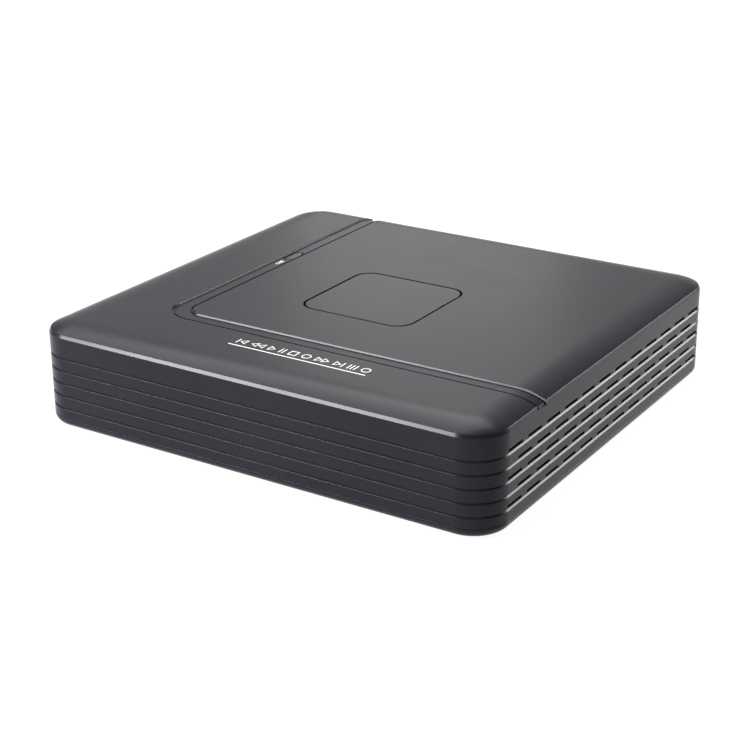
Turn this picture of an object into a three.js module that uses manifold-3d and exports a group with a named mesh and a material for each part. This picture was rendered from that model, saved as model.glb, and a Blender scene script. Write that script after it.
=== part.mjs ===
// A four-channel video recorder: a moulded case in two halves with grooved walls and a crowned,
// channelled top, a steel rear panel, a main board with its sockets, and a 3.5 inch disk drive.
// Millimetres, +Z up, +Y to the rear, +X to the right of someone facing the front.
// Every piece is laid out from the middle of the case's underside. The whole group is then moved
// so that the origin is on the table, under the middle of the object with its rear jacks.
import * as THREE from "three";
import { mergeVertices } from "three/addons/utils/BufferGeometryUtils.js";
import Module from "manifold-3d";

const wasm = await Module();
wasm.setup();

// ---- Driving dimensions ----------------------------------------------------------------------

const gap = 0.3; // air left between two pieces that touch

// The case
const caseWidth = 205;
const caseDepth = 194;
const cornerRadius = 14.4; // of the walls, in plan
const sharpestCorner = 0.3; // in plan, where the crown's rings have shrunk to the corner radius
const corners = [
  [-1, -1],
  [1, -1],
  [-1, 1],
  [1, 1],
];
const cornerSteps = 3; // half the facets of a rounded corner
const wall = 2.2;
const seam = 3.7; // height of the parting line between tray and cover
const edgeRound = 3.4; // of the tray's lower edge
const bevelStart = 37.5; // the cover's top edge is bevelled from here
const bevelEnd = 39.2;
const bevelInset = 0.66;
const crownRise = 2.5; // the top swells this much above the bevel's upper edge
const crownRun = 13.4; // over this distance in from that edge, and is flat from there on
const crownPower = 2.5; // how sharply the crown falls away near the edge
const crownTop = bevelEnd + crownRise;
const roofThickness = 2.4;

// The grooves that run round the walls, and the vent slots in them
const grooveCount = 5;
const groovePitch = 5.326;
const firstGroove = 8.2;
const grooveDepth = 0.55;
const grooveSlope = 0.35; // rise of the lip below each groove
const grooveRoof = 0.65; // height of the groove's flat upper side above its lip
const slotPitch = 14.3;
const slotLength = 10.1;
const slotHeight = 1.6;
const slotsInLongRow = 12; // every other row has one slot fewer

// The channel across the top, the badge in the middle and the indicator window in the channel
const channelDepth = 0.7;
const channelLeft = -67.6; // outer edge of the run along Y
const channelFront = -61.3; // outer edge of the run along X
const channelWidth = 6.6;
const channelRadius = 14;
const channelTuck = 0.5; // the channel's floor stops this far inside the bevel
const badgeSize = 49.6;
const badgeRadius = 7;
const badgeThickness = 1.3;
const badgeY = -1;
const windowX = channelLeft + channelWidth / 2;
const windowY = 27;
const windowLength = 11;
const windowWidth = 3.4;

// Tray, feet and screws
const floor = 2; // thickness of the tray's floor
const lipTop = 7.2; // the tray's lip stands up inside the cover
const lipThickness = 1.6;
const footHeight = 1.8;
const footRadius = 6;
const footSink = 0.5; // each foot sits this deep in its pocket
const footX = 80.5;
const footY = 75;
const bossX = 91.2;
const bossY = 85;
const bossRadius = 3.5;
const screwPostRadius = 4.2;
const postTop = 7.7; // the tray's screw posts meet the cover's bosses here
const screwRadius = 1.5;
const screwHeadRadius = 2.9;
const screwHeadTop = 2.7; // inner end of the heads sunk in the tray
const caseScrewTop = 20;
const driveScrewTop = 10;
const boardScrewTip = 5;
const drivePostRadius = 4.4;
const boardPostRadius = 3.2;
const panelPost = { x: 88.4, y: 92.6, width: 2.8, depth: 3.2, top: 27.4 };
const floorVent = { pitch: 10, width: 3, length: 26 };
const floorVentRows = [-40.7, 45]; // under the drive and under the board
const floorVentsInRow = 12;

// Rear panel and rear jacks
const jackReach = 12; // the video jacks stand this far out of the case's rear face
const panelHalfWidth = 88;
const panelTop = 33.4;
const panelThickness = 1;
const panelY = caseDepth / 2 - wall; // its inner face is level with the cover's inner wall
const rebate = 1.6; // the cover's notch overlaps the panel's edge by this much
const socketFace = 96.5; // the flush sockets end just inside the case's rear face

// Main board
const boardLeft = -84.5;
const boardRight = 86.5;
const boardFront = 13.5;
const boardBack = 93.3;
const boardBottom = 9.4;
const boardThickness = 1.6;
const boardTop = boardBottom + boardThickness;
const seat = boardTop + gap; // underside of everything that stands on the board
const boardScrews = [
  [-79, 18.5],
  [81, 34],
  [-79, 66],
  [79, 66],
];

// On the board. Each flush socket has a middle, a width, a height and a depth.
const cell = { x: -50, y: 48, radius: 10, thickness: 3.2 };
const cellWall = 1.6; // of the holder round the cell
const ledHeight = 3.5;
const headerY = 17.2;
const dataHeader = { x: 68.5, width: 14 };
const powerHeader = { x: 81.3, width: 9 };
const sounder = { x: 48, y: 62, radius: 6, height: 8 };
const inductor = { x: 56, y: 42, size: 12, height: 6 };
const capacitorX = 70;
const capacitorY = [45, 57];
const capacitorRadius = 4;
const capacitorHeight = 11;
const sink = { size: 36, base: 3, height: 12, fins: 9, finThickness: 1.2 };
const chips = {
  video_processor: [12, 50, 19, 19, 1.4],
  memory_chip_1: [-14, 42, 9, 13, 1.1],
  memory_chip_2: [-14, 60, 9, 13, 1.1],
  flash_chip: [40, 34, 8, 6, 1.6],
  network_transformer: [13, 74, 16, 8, 5],
};
const videoJackX = [-77, -62, -47, -32];
const videoJackZ = seat + 7.5;
const videoCollarRadius = 6.3;
const barrelFacets = 16;
const audioJackX = -17.5;
const audioJackZ = [seat + 5.3, seat + 14.9];
const audioCollarRadius = 4.9;
const usb = { x: -3.5, width: 14.2, height: 15.6, depth: 17 };
const usbLevels = [seat + 1.6, seat + 8.9];
const network = { x: 13, width: 16, height: 13.4, depth: 16 };
const networkHollow = { width: 11.8, depth: 12, heights: [seat + 2.3, seat + 9.9] };
const digitalVideo = { x: 30, width: 15, height: 6, depth: 12 };
const screenSocketX = 55;
const screenSocketZ = seat + 6.3;
const hexPostX = [screenSocketX - 12.5, screenSocketX + 12.5];
const hexStudRadius = 1.3;
const powerInlet = { x: 77, width: 9.2, height: 11, depth: 14 };

// Disk drive: a 3.5 inch drive lying with its connectors to the right
const driveLength = 147;
const driveWidth = 101.6;
const driveHeight = 26.1;
const driveLeft = -86.5;
const driveRight = driveLeft + driveLength;
const driveY = -40.7;
const driveBottom = 6.5;
const driveTop = driveBottom + driveHeight;
const driveLidBottom = driveTop - 2.8;
const driveFloor = 11; // inside the casting
const spindleX = driveLeft + 50.8;
const discRadius = 47.5;
const pivotX = spindleX + 54.7;
const pivotY = driveY - 17.3;
const armLength = 48;
const armParked = 107.4; // degrees from +X: the heads are parked clear of the discs
const armSweep = 34; // degrees from there to the innermost track
const driveHoles = [41.28, 85.73].flatMap((back) => [
  [driveRight - back, driveY - 47.6],
  [driveRight - back, driveY + 47.6],
]);

// Leads inside the case, from the drive's connector to the board's headers
const dataLead = {
  radius: 1.9,
  drivePlug: [[60.8, 70], [-28, -16], [8, 13.6]],
  boardPlug: [[62, 75], [4.5, 13.7], [11.6, 17]],
  route: [
    [68, -22, 10.8],
    [75, -22, 10.8],
    [81, -17.5, 11.8],
    [80.5, -10, 13],
    [73, -4, 14.2],
    [68.5, 1, 14.3],
    [68.5, 7, 14.3],
  ],
};
const powerLead = {
  radius: 2.3,
  drivePlug: [[60.8, 71], [-53, -36], [8, 13.6]],
  boardPlug: [[77.2, 85.4], [4.5, 13.7], [11.6, 17]],
  route: [
    [69, -44.5, 10.8],
    [78, -44.5, 10.8],
    [88, -39, 11.5],
    [93, -27, 12.5],
    [92, -12, 13.6],
    [84, -3, 14.3],
    [81.3, 2, 14.3],
    [81.3, 7, 14.3],
  ],
};

// ---- Materials -------------------------------------------------------------------------------

const material = (color, roughness, metalness = 0) =>
  new THREE.MeshStandardMaterial({ color, roughness, metalness });
const casePlastic = material(0x2b2c2f, 0.42);
const badgePlastic = material(0x2d2e31, 0.35);
const smokedPlastic = material(0x15161a, 0.15);
const footRubber = material(0x1a1a1b, 0.9);
const coatedSteel = material(0x1d1e20, 0.5, 0.4);
const plainSteel = material(0xb4b6b8, 0.35, 1);
const nickel = material(0xc9c7c0, 0.25, 1);
const blackPlastic = material(0x111112, 0.5);
const greenBoard = material(0x14502c, 0.45);
const chipResin = material(0x1b1c1e, 0.6);
const castAluminium = material(0x9a9c9e, 0.5, 0.9);
const blackAluminium = material(0x202124, 0.45, 0.8);
const platterCoating = material(0x8f9296, 0.08, 1);
const copper = material(0xb06a35, 0.35, 1);
const blueCable = material(0x1f3f8a, 0.5);
const ledResin = material(0x5fbf6a, 0.25);
const capacitorSleeve = material(0x22242c, 0.4);

// ---- Solids ----------------------------------------------------------------------------------

function solidOf(geometry) {
  const bare = geometry.clone();
  bare.deleteAttribute("normal");
  bare.deleteAttribute("uv");
  const merged = mergeVertices(bare, 1e-4);
  return new wasm.Manifold(
    new wasm.Mesh({
      numProp: 3,
      vertProperties: merged.attributes.position.array,
      triVerts: new Uint32Array(merged.index.array),
    }),
  );
}

function geometryOf(solid) {
  const mesh = solid.getMesh();
  const geometry = new THREE.BufferGeometry();
  geometry.setAttribute("position", new THREE.BufferAttribute(mesh.vertProperties, 3));
  geometry.setIndex(new THREE.BufferAttribute(mesh.triVerts, 1));
  geometry.computeVertexNormals();
  return geometry;
}

const join = (first, ...others) => others.reduce((sum, other) => sum.add(other), first);
const cut = (first, ...others) => others.reduce((rest, other) => rest.subtract(other), first);

// A box between two values on each axis.
function box([x0, x1], [y0, y1], [z0, z1]) {
  const geometry = new THREE.BoxGeometry(x1 - x0, y1 - y0, z1 - z0);
  return solidOf(geometry.translate((x0 + x1) / 2, (y0 + y1) / 2, (z0 + z1) / 2));
}

// A box round a middle point in X and Y, from one height to another.
const block = (x, y, width, depth, z0, z1) =>
  box([x - width / 2, x + width / 2], [y - depth / 2, y + depth / 2], [z0, z1]);

// An upright round rod.
function rod(x, y, radius, z0, z1, facets = 12) {
  const geometry = new THREE.CylinderGeometry(radius, radius, z1 - z0, facets);
  return solidOf(geometry.rotateX(Math.PI / 2).translate(x, y, (z0 + z1) / 2));
}

// A round rod lying along Y.
function rodAlongY(x, z, radius, y0, y1, facets = 12) {
  const geometry = new THREE.CylinderGeometry(radius, radius, y1 - y0, facets);
  return solidOf(geometry.translate(x, (y0 + y1) / 2, z));
}

// A turned solid. Each profile point is [radius, place along the axis].
function turned(profile, facets) {
  return new THREE.LatheGeometry(profile.map(([r, h]) => new THREE.Vector2(r, h)), facets);
}
const turnedUpright = (profile, x, y, facets) =>
  solidOf(turned(profile, facets).rotateX(Math.PI / 2).translate(x, y, 0));
const turnedAlongY = (profile, x, z, facets) =>
  solidOf(turned(profile, facets).translate(x, 0, z));

// A flat outline raised from one height to another.
function plate(shape, z0, z1, curveSegments = cornerSteps) {
  const options = { depth: z1 - z0, bevelEnabled: false, curveSegments };
  return solidOf(new THREE.ExtrudeGeometry(shape, options).translate(0, 0, z0));
}

function roundedRectangle(width, depth, radius, x = 0, y = 0) {
  const [right, back] = [width / 2 - radius, depth / 2 - radius];
  const quarter = Math.PI / 2;
  const shape = new THREE.Shape();
  shape.absarc(x + right, y - back, radius, -quarter, 0);
  shape.absarc(x + right, y + back, radius, 0, quarter);
  shape.absarc(x - right, y + back, radius, quarter, 2 * quarter);
  shape.absarc(x - right, y - back, radius, 2 * quarter, 3 * quarter);
  return shape;
}

// The case's plan, pulled in by an inset.
function caseOutline(inset) {
  const radius = Math.max(cornerRadius - inset, sharpestCorner);
  const shape = roundedRectangle(caseWidth - 2 * inset, caseDepth - 2 * inset, radius);
  return shape.getPoints(cornerSteps);
}

// A solid whose wall passes through the case's plan at each [inset, height] level in turn.
function moulding(levels) {
  const rings = levels.map(([inset, z]) => caseOutline(inset).map(({ x, y }) => [x, y, z]));
  const count = rings[0].length;
  const faces = [];
  for (let level = 1; level < rings.length; level++)
    for (let i = 0; i < count; i++) {
      const [a, b] = [(level - 1) * count + i, (level - 1) * count + ((i + 1) % count)];
      faces.push(a, b, b + count, a, b + count, a + count);
    }
  const lid = (level) => THREE.ShapeUtils.triangulateShape(caseOutline(levels[level][0]), []);
  const last = levels.length - 1;
  for (const [a, b, c] of lid(0)) faces.push(c, b, a);
  for (const [a, b, c] of lid(last)) faces.push(...[a, b, c].map((i) => i + last * count));
  const geometry = new THREE.BufferGeometry();
  geometry.setAttribute("position", new THREE.Float32BufferAttribute(rings.flat(2), 3));
  return solidOf(geometry.setIndex(faces));
}

// ---- Top cover -------------------------------------------------------------------------------

// Height of the crown above the bevel, at a distance in from the bevel's upper edge.
const crownHeight = (run) =>
  crownRise * (1 - (1 - Math.min(run / crownRun, 1)) ** crownPower);
const crownStations = [0, 1.5, 4, 7, 10, crownRun]; // where the crown's facets change slope

function coverSkin() {
  const levels = [[0, seam + gap / 2]];
  for (let groove = 0; groove < grooveCount; groove++) {
    const lip = firstGroove + groove * groovePitch;
    const roof = lip + grooveRoof;
    levels.push([0, lip - grooveSlope], [grooveDepth, lip], [grooveDepth, roof], [0, roof]);
  }
  levels.push([0, bevelStart]);
  for (const run of crownStations)
    levels.push([bevelInset + run, bevelEnd + crownHeight(run)]);
  return moulding(levels);
}

function coverHollow() {
  const levels = [[wall, 0]];
  for (const run of crownStations)
    levels.push([wall + run, bevelEnd + crownHeight(run) - roofThickness]);
  return moulding(levels);
}

// An L in plan: it enters over the right edge, turns the front left corner and leaves at the back.
function channelOutline() {
  const [x, y] = [channelLeft + channelRadius, channelFront + channelRadius];
  const turn = (radius, from, to) => {
    const arc = new THREE.Path().absarc(x, y, radius, from * Math.PI, to * Math.PI, to < from);
    return arc.getPoints(cornerSteps);
  };
  const corner = (px, py) => new THREE.Vector2(px, py);
  return new THREE.Shape([
    corner(channelLeft, caseDepth),
    ...turn(channelRadius, 1, 1.5),
    corner(caseWidth, channelFront),
    corner(caseWidth, channelFront + channelWidth),
    ...turn(channelRadius - channelWidth, 1.5, 1),
    corner(channelLeft + channelWidth, caseDepth),
  ]);
}

// What the channel takes out of the top: its floor runs parallel to the crown and cuts the bevel.
function channelCut() {
  const levels = [
    [channelTuck, bevelStart - 2 * channelDepth],
    [channelTuck, bevelStart - channelDepth],
  ];
  for (const run of crownStations)
    levels.push([bevelInset + channelTuck + run, bevelEnd + crownHeight(run) - channelDepth]);
  return cut(plate(channelOutline(), bevelStart, caseWidth), moulding(levels));
}

function ventRows() {
  const slots = [];
  for (let row = 0; row < grooveCount; row++) {
    const count = slotsInLongRow - (row % 2);
    const z = firstGroove + row * groovePitch + grooveRoof;
    for (let i = 0; i < count; i++) {
      const y = (i - (count - 1) / 2) * slotPitch;
      slots.push(block(0, y, caseWidth + 2, slotLength, z, z + slotHeight));
    }
  }
  return slots;
}

// The cover's rear wall is open downwards round the rear panel, with a rebate that holds it in.
function rearNotch() {
  const opening = panelHalfWidth - rebate;
  const pocket = panelHalfWidth + gap;
  const pocketBack = panelY + panelThickness + gap;
  return join(
    box([-opening, opening], [panelY - wall, caseDepth], [0, panelTop - rebate]),
    box([-pocket, pocket], [panelY - wall, pocketBack], [0, panelTop + gap]),
  );
}

const windowOutline = (margin) => {
  const [width, length] = [windowWidth + 2 * margin, windowLength + 2 * margin];
  return roundedRectangle(width, length, windowWidth / 2, windowX, windowY);
};

const badgeOutline = (margin) =>
  roundedRectangle(badgeSize + 2 * margin, badgeSize + 2 * margin, badgeRadius + margin, 0, badgeY);

function topCover() {
  const shell = cut(
    cut(coverSkin(), coverHollow(), ...ventRows()),
    channelCut(),
    plate(badgeOutline(gap), crownTop - badgeThickness - gap, crownTop + 1),
    plate(windowOutline(gap), bevelStart, crownTop + 1),
    rearNotch(),
  );
  const bosses = corners.map(([sx, sy]) =>
    rod(sx * bossX, sy * bossY, bossRadius, postTop + gap, bevelEnd),
  );
  const pilots = corners.map(([sx, sy]) =>
    rod(sx * bossX, sy * bossY, screwRadius + gap, postTop, caseScrewTop + gap),
  );
  return cut(join(shell, ...bosses), ...pilots);
}

const badgePlate = () => plate(badgeOutline(0), crownTop - badgeThickness, crownTop);

// The indicator's window, its flange under the roof and the stem that brings the light up to it.
function lightPipe() {
  const roofUnderside = crownTop - roofThickness;
  const flangeTop = roofUnderside - gap;
  const flangeBottom = flangeTop - 1.2;
  return join(
    plate(windowOutline(0), flangeTop, crownTop - channelDepth),
    plate(windowOutline(1.5), flangeBottom, flangeTop),
    block(windowX, windowY, 2.4, 5, seat + ledHeight + gap, flangeBottom),
  );
}

// ---- Tray, feet, case screws and rear panel ----------------------------------------------------

function trayShell() {
  const levels = [];
  for (const degrees of [0, 30, 60, 90]) {
    const angle = THREE.MathUtils.degToRad(degrees);
    levels.push([edgeRound * (1 - Math.sin(angle)), edgeRound * (1 - Math.cos(angle))]);
  }
  const rim = seam - gap / 2;
  const lip = wall + gap;
  levels.push([0, rim], [lip, rim], [lip, lipTop]);
  const inside = lip + lipThickness;
  return cut(moulding(levels), moulding([[inside, floor], [inside, lipTop + 1]]));
}

function baseTray() {
  const screwPosts = corners.map(([sx, sy]) =>
    rod(sx * bossX, sy * bossY, screwPostRadius, floor / 2, postTop),
  );
  const drivePosts = driveHoles.map(([x, y]) =>
    rod(x, y, drivePostRadius, floor / 2, driveBottom - gap),
  );
  const boardPosts = boardScrews.map(([x, y]) =>
    rod(x, y, boardPostRadius, floor / 2, boardBottom - gap),
  );
  const panelPosts = [-1, 1].map((side) => {
    const { x, y, width, depth, top } = panelPost;
    return block(side * x, y, width, depth, floor / 2, top);
  });
  const tray = join(trayShell(), ...screwPosts, ...drivePosts, ...boardPosts, ...panelPosts);
  const screwHoles = corners.flatMap(([sx, sy]) => [
    rod(sx * bossX, sy * bossY, screwRadius + gap, -1, postTop + 1),
    rod(sx * bossX, sy * bossY, screwHeadRadius + gap, -1, screwHeadTop + gap),
  ]);
  const driveScrewHoles = driveHoles.flatMap(([x, y]) => [
    rod(x, y, screwRadius + gap, -1, driveBottom),
    rod(x, y, screwHeadRadius + gap, -1, screwHeadTop + gap),
  ]);
  const pilots = boardScrews.map(([x, y]) =>
    rod(x, y, screwRadius + gap, boardScrewTip - gap, boardTop),
  );
  const footPockets = corners.map(([sx, sy]) =>
    rod(sx * footX, sy * footY, footRadius + gap, -1, footSink + gap, 16),
  );
  const vents = [];
  for (const y of floorVentRows)
    for (let i = 0; i < floorVentsInRow; i++) {
      const x = (i - (floorVentsInRow - 1) / 2) * floorVent.pitch;
      vents.push(block(x, y, floorVent.width, floorVent.length, -1, floor + 1));
    }
  return cut(tray, ...screwHoles, ...driveScrewHoles, ...pilots, ...footPockets, ...vents);
}

const foot = (x, y) => rod(x, y, footRadius, -footHeight, footSink, 16);

// A pan-head screw standing head down, driven up from below.
const screwFromBelow = (x, y, top) =>
  join(
    rod(x, y, screwHeadRadius, screwHeadTop - 2, screwHeadTop),
    rod(x, y, screwRadius, screwHeadTop - 1, top, 8),
  );

const boardScrew = (x, y) =>
  join(
    rod(x, y, screwHeadRadius, seat, seat + 1.9),
    rod(x, y, screwRadius, boardScrewTip, seat + 1, 8),
  );

function rearPanel() {
  const sheet = box(
    [-panelHalfWidth, panelHalfWidth],
    [panelY, panelY + panelThickness],
    [seam + gap / 2, panelTop],
  );
  const [front, back] = [panelY - 1, panelY + panelThickness + 1];
  const window = (x, width, z0, z1) =>
    box([x - width / 2 - gap, x + width / 2 + gap], [front, back], [z0 - gap, z1 + gap]);
  const hole = (x, z, radius) => rodAlongY(x, z, radius + gap, front, back, barrelFacets);
  return cut(
    sheet,
    ...videoJackX.map((x) => hole(x, videoJackZ, videoCollarRadius)),
    ...audioJackZ.map((z) => hole(audioJackX, z, audioCollarRadius)),
    window(usb.x, usb.width, seat, seat + usb.height),
    window(network.x, network.width, seat, seat + network.height),
    window(digitalVideo.x, digitalVideo.width, seat, seat + digitalVideo.height),
    window(powerInlet.x, powerInlet.width, seat, seat + powerInlet.height),
    alongY(screenSocketOutline(gap), front, back),
    ...hexPostX.map((x) => hole(x, screenSocketZ, hexStudRadius)),
  );
}

// ---- Rear sockets ------------------------------------------------------------------------------

// A bayonet video jack: a block on the board and a turned barrel with two lugs.
function videoJack(x) {
  const [back, lip, bore] = [panelY - gap, caseDepth / 2 + jackReach, 8.5];
  const barrel = turnedAlongY(
    [
      [0, back - 1],
      [videoCollarRadius, back - 1],
      [videoCollarRadius, back + 3],
      [4.85, back + 3],
      [4.85, lip],
      [4.1, lip],
      [4.1, lip - bore],
      [2.2, lip - bore],
      [2.2, lip - 2],
      [0, lip - 2],
    ],
    x,
    videoJackZ,
    barrelFacets,
  );
  const lug = (side) => block(x + side * 5, lip - 3.5, 1.5, 2, videoJackZ - 1, videoJackZ + 1);
  return join(block(x, back - 7, 14.2, 14, seat, seat + 14.7), barrel, lug(-1), lug(1));
}

// Two phono jacks, one over the other on one block.
function audioJacks() {
  const back = panelY - gap;
  const barrels = audioJackZ.map((z) =>
    turnedAlongY(
      [
        [0, back - 1],
        [audioCollarRadius, back - 1],
        [audioCollarRadius, back + 1.8],
        [4.15, back + 1.8],
        [4.15, caseDepth / 2 + 9],
        [1.75, caseDepth / 2 + 9],
        [1.75, caseDepth / 2 + 1],
        [0, caseDepth / 2 + 1],
      ],
      audioJackX,
      z,
      barrelFacets,
    ),
  );
  return join(block(audioJackX, back - 6, 10.4, 12, seat, seat + 20.2), ...barrels);
}

// A plain socket block with its face just behind the case's rear face.
const socketBlock = ({ x, width, height, depth }) =>
  box([x - width / 2, x + width / 2], [socketFace - depth, socketFace], [seat, seat + height]);

// A hollow that opens at the socket's face.
const socketHollow = (x, width, depth, z0, z1) =>
  box([x - width / 2, x + width / 2], [socketFace - depth, socketFace + 1], [z0, z1]);

function usbSockets() {
  const hollows = usbLevels.map((z) => socketHollow(usb.x, 12.5, 10, z, z + 5.1));
  const tongues = usbLevels.map((z) =>
    box([usb.x - 5.6, usb.x + 5.6], [socketFace - 10.5, socketFace - 1], [z + 2.9, z + 4.7]),
  );
  return join(cut(socketBlock(usb), ...hollows), ...tongues);
}

function networkSocket() {
  return cut(
    socketBlock(network),
    socketHollow(network.x, networkHollow.width, networkHollow.depth, ...networkHollow.heights),
    socketHollow(network.x, 6, networkHollow.depth - 3, seat + 1, networkHollow.heights[0] + 0.1),
  );
}

function digitalVideoSocket() {
  const middle = seat + digitalVideo.height / 2;
  return join(
    cut(socketBlock(digitalVideo), socketHollow(digitalVideo.x, 14, 9, middle - 2.3, middle + 2.3)),
    block(digitalVideo.x, socketFace - 5.2, 10, 8.4, middle - 0.6, middle + 0.6),
  );
}

function powerSocket() {
  const z = seat + 5.6;
  return join(
    cut(socketBlock(powerInlet), rodAlongY(powerInlet.x, z, 3.2, socketFace - 9, socketFace + 1)),
    rodAlongY(powerInlet.x, z, 1.05, socketFace - 9.5, socketFace - 1, 10),
  );
}

// An outline in X and Z, raised along Y.
function alongY(shape, y0, y1) {
  const options = { depth: y1 - y0, bevelEnabled: false, curveSegments: 3 };
  const geometry = new THREE.ExtrudeGeometry(shape, options);
  return solidOf(geometry.rotateX(Math.PI / 2).translate(0, y1, 0));
}

// The D of the analogue screen socket, wider at the top.
function screenSocketOutline(margin) {
  const [top, bottom, half] = [8.4 + margin, 7.4 + margin, 4.1 + margin];
  const chamfer = 1.5;
  const rightHalf = [
    [bottom - chamfer, -half],
    [bottom, chamfer - half],
    [top, half - chamfer],
    [top - chamfer, half],
  ];
  const leftHalf = rightHalf.map(([x, z]) => [-x, z]).reverse();
  return new THREE.Shape(
    [...rightHalf, ...leftHalf].map(
      ([x, z]) => new THREE.Vector2(screenSocketX + x, screenSocketZ + z),
    ),
  );
}

function screenSocket() {
  const back = panelY - gap;
  const studHoles = hexPostX.map((x) =>
    rodAlongY(x, screenSocketZ, hexStudRadius + gap, back - 5, back + 1, 12),
  );
  const body = block(screenSocketX, back - 5, 30.8, 10, seat, seat + 12.6);
  return join(cut(body, ...studHoles), alongY(screenSocketOutline(0), back - 1, caseDepth / 2 + 4.5));
}

// A hexagonal standoff that takes the screen cable's thumbscrew.
function hexPost(x) {
  const face = panelY + panelThickness + gap;
  return join(
    rodAlongY(x, screenSocketZ, 2.75, face, caseDepth / 2 + 4.5, 6),
    rodAlongY(x, screenSocketZ, hexStudRadius, panelY - gap - 4.5, face + 1, 12),
  );
}

// ---- Main board --------------------------------------------------------------------------------

function mainBoard() {
  const sheet = box([boardLeft, boardRight], [boardFront, boardBack], [boardBottom, boardTop]);
  return cut(sheet, ...boardScrews.map(([x, y]) => rod(x, y, screwRadius + gap, 0, seat)));
}

function heatSink() {
  const { size, base, height, fins, finThickness } = sink;
  const [x, y, , , chipHeight] = chips.video_processor;
  const bottom = seat + chipHeight + gap;
  const pitch = (size - finThickness) / (fins - 1);
  const finned = [];
  for (let i = 0; i < fins; i++) {
    const finX = x - size / 2 + finThickness / 2 + i * pitch;
    finned.push(block(finX, y, finThickness, size, bottom + base / 2, bottom + height));
  }
  return join(block(x, y, size, size, bottom, bottom + base), ...finned);
}

const chip = (x, y, width, depth, height) => block(x, y, width, depth, seat, seat + height);

function coinCellHolder() {
  const cup = rod(cell.x, cell.y, cell.radius + cellWall, seat, seat + 4.4, 20);
  return cut(cup, rod(cell.x, cell.y, cell.radius + gap, seat + 1, seat + 5, 20));
}

const coinCell = () =>
  rod(cell.x, cell.y, cell.radius, seat + 1 + gap, seat + 1 + gap + cell.thickness, 20);

// A sounder with the sound's hole in its top.
function buzzer() {
  const { x, y, radius, height } = sounder;
  return cut(rod(x, y, radius, seat, seat + height, 16), rod(x, y, 1, seat + 5, seat + 9, 8));
}

const capacitor = (y) => rod(capacitorX, y, capacitorRadius, seat, seat + capacitorHeight, 16);

const indicatorLed = () =>
  join(
    rod(windowX, windowY, 1.9, seat, seat + 1, 14),
    rod(windowX, windowY, 1.5, seat + 0.5, seat + ledHeight, 14),
  );

// A header on the board's front edge with its mouth to the front.
function header({ x, width }) {
  const body = block(x, headerY, width, 6.4, seat, seat + 6);
  const mouth = block(x, headerY - 2.7, width - 2.4, 3, seat + 1.2, seat + 4.8);
  return cut(body, mouth);
}

// ---- Disk drive --------------------------------------------------------------------------------

function driveBase() {
  const [front, back] = [driveY - driveWidth / 2, driveY + driveWidth / 2];
  const casting = box([driveLeft, driveRight], [front, back], [driveBottom, driveLidBottom - gap]);
  const discWell = rod(spindleX, driveY, discRadius + 1.1, driveFloor, driveTop, 36);
  const armWell = box([spindleX, 52], [driveY - 47, driveY + 36], [driveFloor, driveTop]);
  const boardRecess = box([-60, driveRight + 1], [driveY - 40, driveY + 40], [0, driveFloor - 1.6]);
  const connectorNotch = box([53.7, driveRight + 1], [driveY - 19, driveY + 23], [0, 13]);
  const tapped = driveHoles.map(([x, y]) => rod(x, y, screwRadius + gap, 0, driveScrewTop + gap));
  return join(
    cut(casting, discWell, armWell, boardRecess, connectorNotch, ...tapped),
    rod(spindleX, driveY, 3, driveFloor - 0.5, 26),
    rod(pivotX, pivotY, 2.5, driveFloor - 0.5, 27),
  );
}

const driveLid = () => {
  const x = (driveLeft + driveRight) / 2;
  const outline = roundedRectangle(driveLength - 4, driveWidth - 4, 5, x, driveY);
  return plate(outline, driveLidBottom, driveTop);
};

// Two discs clamped to one hub, which turns on the spindle.
function drivePlatters() {
  const [bore, hub, clamp] = [3 + gap, 12.5, 16];
  const [firstDisc, secondDisc, thickness] = [15, 21, 1.3];
  return turnedUpright(
    [
      [bore, 12],
      [hub, 12],
      [hub, firstDisc],
      [discRadius, firstDisc],
      [discRadius, firstDisc + thickness],
      [hub, firstDisc + thickness],
      [hub, secondDisc],
      [discRadius, secondDisc],
      [discRadius, secondDisc + thickness],
      [clamp, secondDisc + thickness],
      [clamp, 24],
      [bore, 24],
      [bore, 12],
    ],
    spindleX,
    driveY,
    32,
  );
}

// A sector of a ring about the arm's pivot, between two angles in degrees.
function sector(inner, outer, from, to) {
  const [a, b] = [THREE.MathUtils.degToRad(from), THREE.MathUtils.degToRad(to)];
  const shape = new THREE.Shape();
  shape.absarc(0, 0, outer, a, b);
  shape.absarc(0, 0, inner, b, a, true);
  return shape;
}

// The head arm, laid out from its pivot with the heads along +X: three leaves, bearing and coil.
function driveHeadArm() {
  const leaf = new THREE.Shape([
    new THREE.Vector2(0, -6),
    new THREE.Vector2(armLength, -1.6),
    new THREE.Vector2(armLength, 1.6),
    new THREE.Vector2(0, 6),
  ]);
  const leaves = [[13.2, 14.4], [17.6, 19.6], [22.9, 24.1]].map(([z0, z1]) => plate(leaf, z0, z1));
  const coil = plate(sector(5, 26, 166, 194), 17.5, 19.5);
  return cut(join(rod(0, 0, 7, 12, 26, 16), ...leaves, coil), rod(0, 0, 2.5 + gap, 11, 27.5));
}

// The coil's magnet, laid out from the arm's pivot with the parked coil's direction along -X.
function driveMagnet() {
  const [from, to] = [180 - 16, 180 + armSweep + 16];
  return join(
    plate(sector(10, 27.5, from, to), 13.5, 16),
    plate(sector(10, 27.5, from, to), 21, 23.5),
    plate(sector(27, 29, from, to), 13.5, 23.5),
  );
}

const driveControllerBoard = () =>
  box([-59.5, 53.4], [driveY - 39.5, driveY + 39.5], [driveBottom + 0.1, driveBottom + 1.7]);

const driveConnector = () =>
  box([54, driveRight - gap], [driveY - 18, driveY + 22], [driveBottom + 2, 12.6]);

// ---- Leads inside the case ---------------------------------------------------------------------

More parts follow.
